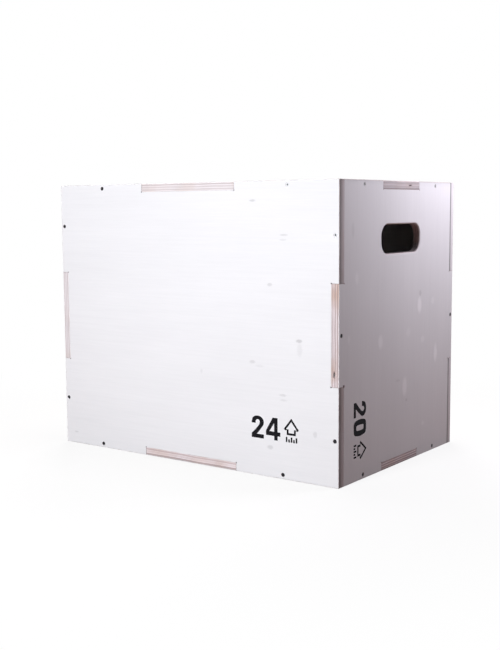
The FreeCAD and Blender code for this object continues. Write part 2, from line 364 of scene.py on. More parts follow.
def dress(piece: Object, material: Material) -> None:
    """Gives a piece one material all over."""
    piece.data.materials.clear()
    piece.data.materials.append(material)


# Finishes


@dataclass(frozen=True)
class FaceFigure:
    """A pin knot or a fleck in the outer veneer of a sheet, in millimetres from the sheet's middle.

    A tone below zero is darker than the veneer and above zero lighter. The length runs with the grain.
    """

    x: float
    y: float
    length: float
    width: float
    tone: float


@dataclass(frozen=True)
class BirchPlywood:
    """Birch plywood, rotary cut, sanded and left bare.

    To the eye it is almost white on the face, with faint level figure and a few pin knots. Its cut edges
    are a warm band of plies: long fibres pale, cut fibres brown, thin dark glue lines between them.
    """

    veneer: str = "#EBEAE9"
    core: str = "#EADFDE"
    cut_fibre: str = "#AE9592"
    stain: str = "#D6B8A4"
    glue: str = "#75625F"
    knot: str = "#979593"
    fleck: str = "#FFFEFD"
    plies: int = 7
    # The figure in millimetres, its length with the grain and its width across it: the fibres, then the
    # streaks, drawn as wide as shows in the whole view, where fibres vanish, and last the slow clouds
    figure_sizes: tuple[tuple[float, float], ...] = ((38.0, 0.8), (190.0, 5.5), (420.0, 120.0))
    # How far each of these shifts the tone
    figure_spreads: tuple[float, ...] = (0.07, 0.07, 0.10)
    figure_detail: float = 3.0
    figure_roughness: float = 0.55
    # A slow drift, in millimetres: how far the plies wander in thickness and over what length
    wander_depth: float = 2.6
    wander_length: float = 62.0
    # Octaves of the drift's noise and of the one that roughens outlines
    drift_detail: float = 2.0
    # Where the drift starts to stain an edge and where the stain is full
    stain_limits: tuple[float, float] = (0.46, 0.62)
    # Where the drift has soaked the glue up and where it stands in the joint, and its shares there
    soak_limits: tuple[float, float] = (0.40, 0.60)
    soak_shares: tuple[float, float] = (0.2, 0.9)
    # How far from a joint its glue line is full and where it ends, in plies
    glue_limits: tuple[float, float] = (0.04, 0.17)
    # How brown the fibres of any cut ply are, and how much browner those of some plies
    brown_shares: tuple[float, float] = (0.4, 0.6)
    # The noise that roughens knots and flecks, and how far it moves their outlines, in millimetres
    ragged_size: float = 2.857
    ragged_shift: tuple[float, float] = (5.0, 3.0)
    # How much of a knot or fleck has its full tone, and how deep it goes in millimetres
    knot_core_share: float = 0.35
    knot_depth: float = 2.0
    # How far the wear round a hand hole reaches, in half sizes of the hole
    grip_reach: float = 1.6
    # How far its rim has turned from the face where its wall starts and where the wall is full
    rim_limits: tuple[float, float] = (0.2, 0.6)
    # How far up a hand hole's wall faces where its painted shade starts and where it is full, and how dark
    # that is
    hole_shade_limits: tuple[float, float] = (0.1, 0.6)
    hole_shade_tone: float = 0.17
    roughness: float = 0.56
    edge_roughness: float = 0.78
    ior: float = 1.5
    sheen: float = 0.25
    # Depth of the raised grain in millimetres
    relief_depth: float = 0.12
    relief_strength: float = 0.6

    def material(self, sheet: "PlySheet") -> Material:
        """Makes the plywood of one sheet.

        Args:
            sheet: The sheet, which gives the pattern's place, thickness, grain and seed.

        Returns:
            The material.
        """
        material, add = new_material(f"birch_plywood_{sheet.node}")
        plies = PlyPattern(self, sheet, add)
        colour = plies.figured(plies.worn(plies.cut_colour()))
        toned = add("VectorMath", {0: colour, "Scale": plies.tone()}, operation="SCALE")
        rough = add("MapRange", {0: plies.on_face, 3: self.edge_roughness, 4: self.roughness})
        relief = {"Distance": self.relief_depth * MM, "Strength": self.relief_strength}
        bump = add("Bump", {"Height": plies.tones[0], **relief})
        gloss = {"Roughness": rough, "IOR": self.ior, "Specular IOR Level": self.sheen}
        surface = add("BsdfPrincipled", {"Base Color": toned, "Normal": bump, **gloss})
        add("OutputMaterial", (surface,))
        return material


class PlyPattern:
    """The plies of one sheet as a solid pattern, so that its faces and edges agree.

    It is in millimetres in the frame of the sheet's grain: X with the grain, Y across it and Z up to the
    outer face.
    """

    # Keeps the count of the plies off its ends, where it would start another ply
    HAIR = 0.001

    def __init__(self, finish: BirchPlywood, sheet: "PlySheet", add: AddNode) -> None:
        """Finds the ply, the cut and the fibres at each point of the surface.

        Args:
            finish: The plywood's colours and sizes.
            sheet: The sheet that it is the pattern of.
            add: Adds a node to the sheet's material.
        """
        self.finish, self.sheet, self.add = finish, sheet, add
        self.thickness = sheet.carcass.ply / MM
        self.point = add("VectorMath", {0: sheet.grain_point(add), "Scale": 1 / MM}, operation="SCALE")
        along, across, up = add("SeparateXYZ", (self.point,)).node.outputs

        # The plies wander a little in thickness, so their lines are never ruled straight
        self.noise_inputs = {"Vector": self.point, "W": sheet.seed, "Detail": finish.drift_detail}
        slow = {**self.noise_inputs, "Scale": 1 / finish.wander_length}
        drift = add("TexNoise", slow, out="Color", noise_dimensions="4D")
        bend, self.soak, self.tint = add("SeparateColor", (drift,)).node.outputs
        depth = finish.wander_depth
        wander = add("Math", (bend, depth, -depth / 2), operation="MULTIPLY_ADD")
        height = add("Math", (up, wander), operation="ADD")
        self.count = add("MapRange", (height, 0.0, self.thickness, self.HAIR, finish.plies - self.HAIR))
        ply = add("Math", (self.count,), operation="FLOOR")
        crossed = add("Math", (ply, 2.0), operation="MODULO")
        self.seeded_ply = add("Math", (ply, sheet.seed), operation="ADD")

        # How far the surface cuts across the fibres of its ply, and how far it faces out or to an edge
        self.normal = add("NewGeometry", out="Normal")
        facing = []
        for axis in sheet.grain_frame().to_3x3().col:
            dot = add("VectorMath", (self.normal, axis), out="Value", operation="DOT_PRODUCT")
            facing.append(add("Math", (dot,), operation="ABSOLUTE"))
        cut_along, cut_over, self.on_face = facing
        self.cut_share = add("Mix", {0: crossed, 2: cut_along, 3: cut_over})
        self.on_edge = add("Math", (1.0, self.on_face), operation="SUBTRACT", use_clamp=True)
        # The edges that take the painted tones of the plies: the one that faces one way, or else all of
        # them
        self.turned_edge = self.on_edge
        if sheet.turned_edge:
            ways = (self.normal, sheet.turned_edge)
            turned = add("VectorMath", ways, out="Value", operation="DOT_PRODUCT")
            self.turned_edge = add("Math", (self.on_edge, turned), operation="MULTIPLY", use_clamp=True)
        self.worn_rim, self.wall = self.grip_wear()

        # Fibres run with the grain in one ply and across it in the next
        swapped = add("CombineXYZ", (across, along, up))
        run = add("Mix", {0: crossed, 4: self.point, 5: swapped}, out=1, data_type="VECTOR")
        self.tones = [self.fibres(run, *size) for size in finish.figure_sizes]

    def fibres(self, run: NodeSocket, length: float, width: float) -> NodeSocket:
        """Adds the tone of fibres, streaks or clouds.

        Args:
            run: The point, with the fibres of its ply along X.
            length: How long they are, in millimetres.
            width: How wide they are.

        Returns:
            The tone, about a half.
        """
        finish = self.finish
        stretched = self.add("VectorMath", (run, (1 / length, 1 / width, 1 / width)), operation="MULTIPLY")
        place = {"Vector": stretched, "W": self.seeded_ply, "Scale": 1.0}
        grain = {"Detail": finish.figure_detail, "Roughness": finish.figure_roughness}
        return self.add("TexNoise", {**place, **grain}, noise_dimensions="4D")

    def grip_wear(self) -> tuple[Signal, Signal]:
        """Finds the rim of a hand hole, which hands have worn pale, and its wall, which takes painted
        shade.

        Returns:
            How far a point lies on the rim and how far on the wall, both zero on a sheet without a hole.
        """
        sheet, add = self.sheet, self.add
        if not sheet.grip():
            return 0.0, 0.0
        middle, reach = sheet.grip()
        hole = (*sheet.with_grain(*middle), self.thickness / 2)
        off = add("VectorMath", (self.point, hole), operation="SUBTRACT")
        shares = (*[1 / abs(size) for size in sheet.with_grain(*reach)], 0.0)
        in_reaches = add("VectorMath", (off, shares), operation="MULTIPLY")
        distance = add("VectorMath", (in_reaches,), out="Value", operation="LENGTH")
        gripped = add("Math", (distance, self.finish.grip_reach), operation="LESS_THAN")
        turned = add("MapRange", (self.on_edge, *self.finish.rim_limits))
        wall = add("Math", (turned, gripped), operation="MULTIPLY")
        rim = add("Math", (gripped, wall), operation="SUBTRACT")
        return add("Math", (rim, self.on_edge), operation="MULTIPLY"), wall

    def cut_colour(self) -> NodeSocket:
        """Colours the faces as veneer and the edges as core, stains, cut fibres and glue lines.

        Returns:
            The colour of the fresh plywood.
        """
        finish, add = self.finish, self.add
        stained = add("MapRange", (self.tint, *finish.stain_limits, 0.0, self.sheet.stain_share))
        stain = add("Math", (stained, self.on_edge), operation="MULTIPLY")
        chance = add("TexWhiteNoise", {"W": self.seeded_ply}, noise_dimensions="1D")
        least, more = finish.brown_shares
        brown = add("Math", (chance, more, least), operation="MULTIPLY_ADD")
        cut = add("Math", (self.cut_share, brown), operation="MULTIPLY", use_clamp=True)
        # The glue lines come and go along the edge, as glue soaked in or stood in the joint
        from_joint = add("Math", (self.count, 0.5), operation="PINGPONG")
        soaked = add("MapRange", (self.soak, *finish.soak_limits, *finish.soak_shares))
        line = add("MapRange", (from_joint, *finish.glue_limits, soaked, 0.0))
        glue = add("Math", (line, self.on_edge), operation="MULTIPLY")

        colour = to_linear(finish.core)
        tints = (finish.veneer, finish.stain, finish.cut_fibre, finish.glue)
        for tint, share in zip(tints, (self.on_face, stain, cut, glue)):
            colour = add("Mix", {0: share, 6: colour, 7: to_linear(tint)}, out=2, data_type="RGBA")
        return colour

    def worn(self, colour: NodeSocket) -> NodeSocket:
        """Fades the edges towards the colour of the faces, as light and hands have done, and the edge with
        painted tones further, as painted light.

        Args:
            colour: The colour of the fresh plywood.

        Returns:
            The faded colour.
        """
        sheet, add = self.sheet, self.add
        faded = self.worn_rim
        for edge, share in ((self.on_edge, sheet.faded_share), (self.turned_edge, sheet.turned_share)):
            faded = add("Math", (edge, share, faded), operation="MULTIPLY_ADD")
        veneer = to_linear(self.finish.veneer)
        return add("Mix", {0: faded, 6: colour, 7: veneer}, out=2, data_type="RGBA")

    def figured(self, colour: NodeSocket) -> NodeSocket:
        """Draws the knots and flecks, which lie in the outer face only, their outlines roughened.

        Args:
            colour: The colour without them.

        Returns:
            The colour with them.
        """
        finish, sheet, add = self.finish, self.sheet, self.add
        shift = Vector((*finish.ragged_shift, 0.0))
        fine = {**self.noise_inputs, "Scale": 1 / finish.ragged_size}
        rough = add("TexNoise", fine, out="Color", noise_dimensions="4D")
        ragged = add("VectorMath", (rough, shift, self.point), operation="MULTIPLY_ADD")
        for figure in sheet.figures:
            middle = Vector((*sheet.with_grain(figure.x, figure.y), self.thickness)) + shift / 2
            off = add("VectorMath", (ragged, middle), operation="SUBTRACT")
            size = (2 / figure.length, 2 / figure.width, 1 / finish.knot_depth)
            in_sizes = add("VectorMath", (off, size), operation="MULTIPLY")
            distance = add("VectorMath", (in_sizes,), out="Value", operation="LENGTH")
            share = add(
                "MapRange",
                (distance, finish.knot_core_share, 1.0, abs(figure.tone), 0.0),
                interpolation_type="SMOOTHSTEP",
            )
            tint = to_linear(finish.knot if figure.tone < 0 else finish.fleck)
            colour = add("Mix", {0: share, 6: colour, 7: tint}, out=2, data_type="RGBA")
        return colour

    def tone(self) -> NodeSocket:
        """Multiplies what makes a point lighter or darker: figure, painted shade and light on the edges,
        and painted shade in the hand hole.

        Returns:
            The factor for the colour.
        """
        finish, sheet, add = self.finish, self.sheet, self.add
        factors = [
            add("Math", (tone, spread, 1 - spread / 2), operation="MULTIPLY_ADD")
            for tone, spread in zip(self.tones, finish.figure_spreads)
        ]
        # Each ply of an edge has its own tone: partly the ply's own colour, partly painted shade and light
        brightest = max(sheet.edge_tones)
        ramp = add("ValToRGB", (add("Math", (self.count, finish.plies), operation="DIVIDE"),))
        stops = ramp.node.color_ramp.elements
        stops.remove(stops[1])
        for i, tone_of_ply in enumerate(sheet.edge_tones):
            stop = stops.new((i + 0.5) / len(sheet.edge_tones)) if i else stops[0]
            stop.color = (*[tone_of_ply / brightest] * 3, 1.0)
        turned = add("Math", (ramp, brightest), operation="MULTIPLY")
        factors.append(add("MapRange", {0: self.turned_edge, 3: 1.0, 4: turned}))
        # Painted shade darkens the parts of a hand hole's wall that face up
        rising = add("SeparateXYZ", (self.normal,), out="Z")
        hole_shade = add("MapRange", (rising, *finish.hole_shade_limits, 1.0, finish.hole_shade_tone))
        factors.append(add("MapRange", {0: self.wall, 3: 1.0, 4: hole_shade}))

        tone = factors[0]
        for factor in factors[1:]:
            tone = add("Math", (tone, factor), operation="MULTIPLY")
        return tone


@dataclass(frozen=True)
class BlackPhosphate:
    """Phosphated steel of a wood screw: a thin crystalline coat, nearly black, dry rather than shiny.

    Round the recess of a few heads the coat is painted pale as bare steel: a painted highlight.
    """

    coat: str = "#1C1B1E"
    crystal: str = "#343236"
    # Pale steel, painted on some heads as a highlight
    bare: str = "#D2D2D3"
    metallic: float = 0.7
    roughness: float = 0.48
    # Width and depth of the crystals in millimetres
    grit: float = 0.5
    relief_depth: float = 0.02
    relief_strength: float = 0.5
    grit_detail: float = 2.0
    # From the middle of a head with a painted highlight: where the coat stops, where it is fully pale, and
    # where it starts again
    glare_reach: tuple[float, float, float] = (1.3, 2.4, 6.0)

    def material(self, glare_heads: list[tuple[Vector, float]]) -> Material:
        """Makes the coat, its crystals drawn as a fine grit.

        Args:
            glare_heads: Middles of the heads that are painted with a highlight, and how strong each
                highlight is.

        Returns:
            The material.
        """
        material, add = new_material("black_phosphate_steel")
        where = add("TexCoord", out="Object")
        grit = add("TexNoise", {"Vector": where, "Scale": 1 / (self.grit * MM), "Detail": self.grit_detail})
        tints = {6: to_linear(self.coat), 7: to_linear(self.crystal)}
        colour = add("Mix", {0: grit, **tints}, out=2, data_type="RGBA")
        coated, bare, far = (reach * MM for reach in self.glare_reach)
        # A painted highlight: pale steel round the recess of the chosen heads
        for head, glare_share in glare_heads:
            away = add("VectorMath", (where, head), out="Value", operation="DISTANCE")
            on_head = add("Math", (away, far), operation="LESS_THAN")
            glare = add("MapRange", (away, coated, bare, 0.0, glare_share))
            share = add("Math", (on_head, glare), operation="MULTIPLY")
            colour = add("Mix", {0: share, 6: colour, 7: to_linear(self.bare)}, out=2, data_type="RGBA")
        relief = {"Distance": self.relief_depth * MM, "Strength": self.relief_strength}
        bump = add("Bump", {"Height": grit, **relief})
        gloss = {"Metallic": self.metallic, "Roughness": self.roughness}
        surface = add("BsdfPrincipled", {"Base Color": colour, "Normal": bump, **gloss})
        add("OutputMaterial", (surface,))
        return material


@dataclass(frozen=True)
class StencilInk:
    """Screen-printed ink on bare wood: matt blue-black, a little thin where the fibres stand up."""

    ink: str = "#0E0D11"
    thin: str = "#211F23"
    # Length and width of the fibres in millimetres, and where their tone starts to thin the ink and ends
    fibre: tuple[float, float] = (14.0, 1.1)
    thin_limits: tuple[float, float] = (0.52, 0.78)
    fibre_detail: float = 3.0
    roughness: float = 0.8
    ior: float = 1.48
    sheen: float = 0.12

    def material(self, sheet: "PlySheet") -> Material:
        """Makes the ink as it lies on one sheet.

        Args:
            sheet: The sheet under it, whose grain the thin places follow.

        Returns:
            The material.
        """
        material, add = new_material(f"stencil_ink_{sheet.node}")
        length, width = (size * MM for size in self.fibre)
        scale = (1 / length, 1 / width, 1 / width)
        stretched = add("VectorMath", (sheet.grain_point(add), scale), operation="MULTIPLY")
        fibre = add("TexNoise", {"Vector": stretched, "Scale": 1.0, "Detail": self.fibre_detail})
        worn = add("MapRange", (fibre, *self.thin_limits))
        tints = {6: to_linear(self.ink), 7: to_linear(self.thin)}
        colour = add("Mix", {0: worn, **tints}, out=2, data_type="RGBA")
        gloss = {"Roughness": self.roughness, "IOR": self.ior, "Specular IOR Level": self.sheen}
        surface = add("BsdfPrincipled", {"Base Color": colour, **gloss})
        add("OutputMaterial", (surface,))
        return material


@dataclass(frozen=True)
class StudioPaper:
    """White background paper. The camera sees it burnt out to white, with a soft shadow near the box."""

    paper: str = "#F3EFED"
    # The paper is lit less than the box, so what it sends back on to the box is dim and warm
    bounce: str = "#775B54"
    # How much of the paper's own shading the camera sees at the box, and where that has faded to white
    shading_share: float = 0.16
    fade_limits: tuple[float, float] = (0.45, 1.3)

    def material(self) -> Material:
        """Makes the paper, plain to all light and white to the camera and to mirrors.

        Returns:
            The material.
        """
        material, add = new_material("white_studio_paper")
        far = add("VectorMath", (add("TexCoord", out="Object"),), out="Value", operation="LENGTH")
        fade = (far, *self.fade_limits, 1 - self.shading_share, 1.0)
        white = add("MapRange", fade, interpolation_type="SMOOTHSTEP")
        seen = seen_directly(add)
        share = add("Math", (white, seen), operation="MULTIPLY")
        tints = {6: to_linear(self.bounce), 7: to_linear(self.paper)}
        matt = add("BsdfDiffuse", {"Color": add("Mix", {0: seen, **tints}, out=2, data_type="RGBA")})
        glow = add("Emission", {"Strength": 1.0})
        add("OutputMaterial", (add("MixShader", (share, matt, glow)),))
        return material


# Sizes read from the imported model


@dataclass(frozen=True)
class Carcass:
    """Main sizes of the box, in metres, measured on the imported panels."""

    width: float
    depth: float
    height: float
    ply: float
    # Half lengths of the tabs, named for the way they run, and the room at each end of one
    width_tab: float
    depth_tab: float
    height_tab: float
    gap: float

    @classmethod
    def measure(cls) -> "Carcass":
        """Measures the panels of the frame.

        Returns:
            The sizes.
        """
        low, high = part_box("front_panel")
        size = high - low
        end_low, end_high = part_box("right_panel")
        width_tab = max(cls.rim("top_panel", 1, 0))
        return cls(
            width=size.x,
            depth=end_high.y - end_low.y,
            height=size.z,
            ply=size.y,
            width_tab=width_tab,
            depth_tab=max(cls.rim("top_panel", 0, 1)),
            height_tab=max(cls.rim("right_panel", 1, 2)),
            gap=min(cls.rim("front_panel", 2, 0)) - width_tab,
        )

    @staticmethod
    def rim(node: str, out: int, along: int) -> list[float]:
        """Distances from a panel's middle, along one axis, of its points that lie furthest out on another.

        Args:
            node: The CAD node of the panel.
            out: The axis that its edge faces.
            along: The axis that its edge runs along.

        Returns:
            The distances of the points on that edge.
        """
        low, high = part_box(node)
        middle = (low[along] + high[along]) / 2
        points = (vertex.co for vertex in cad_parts[node].data.vertices)
        return [abs(point[along] - middle) for point in points if high[out] - point[out] < MATCH]


@dataclass(frozen=True)
class Outline:
    """The outline of a sheet about its own middle.

    The edges lie at edge. In the middle of each, over half to either side, the outline steps out to a tab
    or in to a notch at step.
    """

    edge: Vector
    step: Vector
    half: Vector

    def reach(self) -> Vector:
        """How far the sheet goes from its middle, in X and Y."""
        return Vector(map(max, self.edge, self.step))

    def root(self) -> Vector:
        """Where its steps start, in X and Y."""
        return Vector(map(min, self.edge, self.step))

    def covers(self, x: float, y: float) -> bool:
        """Says whether a point of the sheet's plane lies inside the outline.

        Args:
            x: The point's place along X.
            y: Its place along Y.

        Returns:
            True inside.
        """
        side, rise = abs(x), abs(y)
        limit_x = self.step.x if rise < self.half.y else self.edge.x
        limit_y = self.step.y if side < self.half.x else self.edge.y
        return side < limit_x and rise < limit_y

    def inner_corners(self) -> list[tuple[float, float]]:
        """The corners at the roots of the tabs and notches.

        Returns:
            Their places, those beside the X edges first.
        """
        root = self.root()
        first = [(x, y) for x in (-root.x, root.x) for y in (-self.half.y, self.half.y)]
        return first + [(x, y) for x in (-self.half.x, self.half.x) for y in (-root.y, root.y)]


# Pieces


@dataclass
class WoodScrews:
    """Countersunk wood screws with a cross recess, one group for each joint of the box."""

    head_diameter: float = 8.0 * MM
    head_rim: float = 0.3 * MM
    length: float = 45.0 * MM
    shank_diameter: float = 4.0 * MM
    core_diameter: float = 2.8 * MM
    point_length: float = 6.0 * MM
    thread_length: float = 28.0 * MM
    thread_pitch: float = 1.8 * MM
    thread_width: float = 0.9 * MM
    recess_span: float = 4.4 * MM
    recess_width: float = 1.1 * MM
    recess_depth: float = 2.3 * MM
    # How much of its span and width the recess keeps at its bottom
    recess_taper_shares: tuple[float, float] = (0.35, 0.8)
    sides: int = 24

    def places(self, node: str) -> list[Matrix]:
        """Finds where the screws of a CAD group sit.

        Args:
            node: The CAD node of the group.

        Returns:
            For each screw, the frame of its head: its origin in the middle of the flat, +Z out of the wood.
        """
        take(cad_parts[node])
        bpy.ops.object.duplicate()
        with editing(bpy.context.object):
            bpy.ops.mesh.remove_doubles(threshold=MATCH)
            bpy.ops.mesh.separate(type="LOOSE")
        heads = []
        for copy in list(bpy.context.selected_objects):
            points = [vertex.co.copy() for vertex in copy.data.vertices]
            bpy.data.objects.remove(copy)
            low, high = (Vector([end(p[i] for p in points) for i in range(3)]) for end in (min, max))
            along = max(range(3), key=lambda i: high[i] - low[i])
            out = Vector([float(i == along) for i in range(3)])
            flat = high[along]
            # The rim of the head has more points than the tip
            ends = low[along], high[along]
            at_low, at_high = (sum(abs(p[along] - end) < MATCH for p in points) for end in ends)
            if at_low > at_high:
                out.negate()
                flat = low[along]
            middle = (low + high) / 2
            middle[along] = flat
            heads.append(Matrix.Translation(middle) @ out.to_track_quat("Z", "Y").to_matrix().to_4x4())
        return sorted(heads, key=lambda head: tuple(round(c, 4) for c in head.translation))

    def turned_body(self) -> Object:
        """Models the head, shank and point from one ring, head up at the origin.

        Returns:
            The body, without its thread and recess.
        """
        head, shank, core = (d / 2 for d in (self.head_diameter, self.shank_diameter, self.core_diameter))
        cone, taper = head - shank, shank - core
        # How far each ring lies below the last, and its width as a share of that one's
        rings = (
            (self.head_rim, 1.0),
            (cone, shank / head),
            (self.length - self.point_length - self.thread_length - self.head_rim - cone, 1.0),
            (taper, core / shank),
            (self.thread_length - taper, 1.0),
        )
        body = start(bpy.ops.mesh.primitive_circle_add, vertices=self.sides, radius=head, fill_type="NGON")
        with editing(body):
            pick(body, "EDGE", lambda edge: True)
            for drop, share in rings:
                extrude_edges(0.0, 0.0, -drop)
                bpy.ops.transform.resize(value=(share, share, 1.0))
            extrude_edges(0.0, 0.0, -self.point_length)
            bpy.ops.mesh.merge(type="CENTER")
            turn_outwards()
        return body

    def recess_cutter(self) -> Object:
        """Models the cross recess as two tapered blades.

        Returns:
            The cutting tool.
        """
        blades = []
        for turn in (0.0, math.pi / 2):
            blade = start(bpy.ops.mesh.primitive_cube_add, size=1.0)
            with editing(blade):
                bpy.ops.transform.resize(value=(self.recess_span, self.recess_width, 2 * self.recess_depth))
                pick(blade, "FACE", looks_down)
                bpy.ops.transform.resize(value=(*self.recess_taper_shares, 1.0))
            set_place(blade, Matrix.Rotation(turn, 4, "Z"))
            blades.append(blade)
        return join(blades)

    def thread(self) -> Object:
        """Winds a sharp ridge round the core, from the smooth shank down to the point.

        Returns:
            The ridge.
        """
        crest = self.shank_diameter / 2
        # The foot of the ridge lies a little inside the core, and its crest leans towards the point
        foot = self.core_diameter / 2 - self.head_rim
        lean = self.thread_width * math.sin(math.pi / 3) / 2
        bottom = self.point_length - self.length
        ridge = start(bpy.ops.mesh.primitive_circle_add, vertices=3, radius=crest, fill_type="NOTHING")
        for vertex, (reach, rise) in zip(ridge.data.vertices, ((foot, 0.0), (crest, -lean), (foot, lean))):
            vertex.co = (reach, 0.0, bottom + rise)
        apply_modifier(
            ridge,
            "SCREW",
            axis="Z",
            angle=2 * math.pi,
            screw_offset=self.thread_pitch,
            iterations=int((self.thread_length - self.thread_width) / self.thread_pitch),
            steps=self.sides // 2,
            render_steps=self.sides // 2,
        )
        with editing(ridge):
            bpy.ops.mesh.remove_doubles(threshold=CRUMB)
            bpy.ops.mesh.fill_holes(sides=3)
            turn_outwards()
        return ridge

    def build(self, material: Material, groups: dict[str, list[Matrix]]) -> None:
        """Models one screw, drives a copy of it into every place and joins the copies of each group.

        Args:
            material: The finish of the screws.
            groups: The places of the screws by CAD node.
        """
        body = self.turned_body()
        cut_with(body, [self.recess_cutter()])
        master = join([body, self.thread()])
        shade(master)
        dress(master, material)
        driven = 0
        for node, heads in groups.items():
            copies = []
            for head in heads:
                copy = master.copy()
                copy.data = master.data.copy()
                bpy.context.scene.collection.objects.link(copy)
                # No two recesses come to rest at the same turn
                set_place(copy, head @ Matrix.Rotation(driven * GOLDEN_TURN, 4, "Z"))
                copies.append(copy)
                driven += 1
            group = join(copies)
            group.name = f"{node}_driven"
            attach(group, BODY)
            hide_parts(node)
            LOG.info("%s: %d screws", group.name, len(heads))
        bpy.data.objects.remove(master)


@dataclass
class PlySheet:
    """One sheet of plywood, cut flat with its outer face up and then stood in its place in the box."""

    node: str
    carcass: Carcass
    stand: Stand
    grain: Grain
    seed: float
    screws: WoodScrews
    heads: list[Matrix]
    figures: tuple[FaceFigure, ...] = ()
    # Middles of gaps in the core, and the corner reliefs that the drill has torn wider
    voids: tuple[tuple[float, float, float], ...] = ()
    torn_corners: tuple[tuple[float, float], ...] = ()
    # How far its cut edges have faded to the colour of its faces, and how far warm stains cover them
    faded_share: float = 0.0
    stain_share: float = 0.42
    # How much paler or darker than fresh the plies of its edges are painted, from the inner ply to the
    # outer one:
    # partly the plies' own tones, partly painted shade and light, such as a painted shadow along a joint
    edge_tones: tuple[float, ...] = (1.0, 1.0)
    # Which way the edge faces that takes these painted tones, where it is only one, and how far that one is
    # painted paler
    turned_edge: tuple[float, float, float] | None = None
    turned_share: float = 0.0
    arris: float = 1.5 * MM
    easing: float = 0.4 * MM
    relief: float = 1.5 * MM
    torn_relief: float = 3.0 * MM
    shank_room: float = 0.5 * MM
    # Half sizes of a gap in the core: along the edge, into it and through the plies
    void_size: tuple[float, float, float] = (7.0 * MM, 12.0 * MM, 1.9 * MM)
    void_sides: tuple[int, int] = (20, 12)
    overrun: float = 2.0 * MM
    drill_sides: int = 32
    round_steps: int = 3

    def outline(self) -> Outline:
        """The sheet's outline, which each kind of sheet gives."""
        raise NotImplementedError

    def place(self) -> Matrix:
        """Where the sheet's own frame stands: its middle at the inner face, +Z to the outer face.

        Returns:
            The frame.
        """
        box = self.carcass
        turn = self.stand.turn()
        outward = turn.to_3x3() @ Vector((0.0, 0.0, 1.0))
        half = Vector((box.width, box.depth, box.height)) / 2
        distance = abs(outward.dot(half)) - box.ply
        return Matrix.Translation(Vector((0.0, 0.0, half.z)) + distance * outward) @ turn

    def grain_frame(self) -> Matrix:
        """The sheet's own frame turned so that X runs with the grain."""
        return self.place() @ Matrix.Rotation(self.grain.value, 4, "Z")

    def grain_point(self, add: AddNode) -> NodeSocket:
        """Adds the place of each surface point in the frame of the grain.

        Args:
            add: Adds a node to a material.

        Returns:
            The place, in metres.
        """
        pattern = self.grain_frame()
        turn = {"Location": pattern.translation, "Rotation": pattern.to_euler()}
        return add("Mapping", {"Vector": add("TexCoord", out="Object"), **turn}, vector_type="TEXTURE")

    def with_grain(self, x: float, y: float) -> tuple[float, float]:
        """Turns a place in the sheet's own frame to the frame of its grain."""
        return (x, y) if self.grain is Grain.LEVEL else (y, -x)

    def grip(self) -> tuple[tuple[float, float], tuple[float, float]] | None:
        """Middle and half size of a place that hands hold it by, in millimetres in its own frame."""
        return None

    def seats(self) -> list[Vector]:
        """Where screws are driven through the outer face.

        Returns:
            The middles of their heads in the sheet's own frame.
        """
        inverse = self.place().inverted()
        own = [inverse @ head.translation for head in self.heads]
        reach = self.outline().reach()
        return [
            p for p in own
            if abs(p.z - self.carcass.ply) < self.overrun and abs(p.x) < reach.x and abs(p.y) < reach.y
        ]

    def nearest_heads(self, corner: Vector) -> list[Vector]:
        """Middles of the heads in its outer face, those nearest a corner of the box first."""
        places = [self.place() @ seat for seat in self.seats()]
        return sorted(places, key=lambda place: (place - corner).length)

    def cut_outline(self) -> Object:
        """Saws the sheet to its outline: a blank is divided, the waste falls away, the rest is thickened.

        Returns:
            The sheet, lying with its inner face at Z = 0.
        """
        outline = self.outline()
        sheet = start(bpy.ops.mesh.primitive_plane_add, size=2.0)
        sheet.name = f"{self.node}_ply"
        with editing(sheet):
            bpy.ops.transform.resize(value=(*outline.reach(), 1.0))
            for axis, normal in enumerate(((1.0, 0.0, 0.0), (0.0, 1.0, 0.0))):
                distances = [line[axis] for line in (outline.edge, outline.step, outline.half)]
                for distance in distances + [-d for d in distances]:
                    bpy.ops.mesh.select_all(action="SELECT")
                    bpy.ops.mesh.bisect(plane_co=distance * Vector(normal), plane_no=normal)
            pick(sheet, "FACE", lambda face: not outline.covers(*face.calc_center_median().xy))
            bpy.ops.mesh.delete(type="FACE")
            bpy.ops.mesh.select_all(action="SELECT")
            bpy.ops.mesh.dissolve_limited(angle_limit=FLAT_ANGLE)
            thicken(self.carcass.ply)
        return sheet

    def ease_edges(self, sheet: Object) -> None:
        """Rounds the arrises of the finished box and takes the sharpness off every other edge.

        Args:
            sheet: The sheet, still flat.
        """
        reach = self.outline().reach()
        corners = self.outline().inner_corners()

        def outer_faces(edge: bmesh.types.BMEdge) -> int:
            """Counts the outer faces of the box that an edge lies in.

            Args:
                edge: An edge of the sheet.

            Returns:
                How many there are.
            """
            ends = [vertex.co for vertex in edge.verts]
            at_side = all(abs(abs(end.x) - reach.x) < MATCH for end in ends)
            at_end = all(abs(abs(end.y) - reach.y) < MATCH for end in ends)
            on_top = all(abs(end.z - self.carcass.ply) < MATCH for end in ends)
            return at_side + at_end + on_top

        def drilled_away(edge: bmesh.types.BMEdge) -> bool:
            """Says whether an edge goes when the corner reliefs are drilled.

            Args:
                edge: An edge of the sheet.

            Returns:
                True if a drill takes it.
            """
            foot, top = (vertex.co for vertex in edge.verts)
            upright = abs(foot.z - top.z) > MATCH
            return upright and any((foot.xy - Vector(c)).length < self.relief for c in corners)

        with editing(sheet):
            pick(sheet, "EDGE", lambda edge: outer_faces(edge) > 1)
            bpy.ops.transform.edge_bevelweight(value=1.0)
            pick(sheet, "EDGE", lambda edge: outer_faces(edge) < 2 and not drilled_away(edge))
            bpy.ops.transform.edge_bevelweight(value=self.easing / self.arris)
        apply_modifier(
            sheet,
            "BEVEL",
            width=self.arris,
            segments=self.round_steps,
            limit_method="WEIGHT",
            use_clamp_overlap=False,
        )

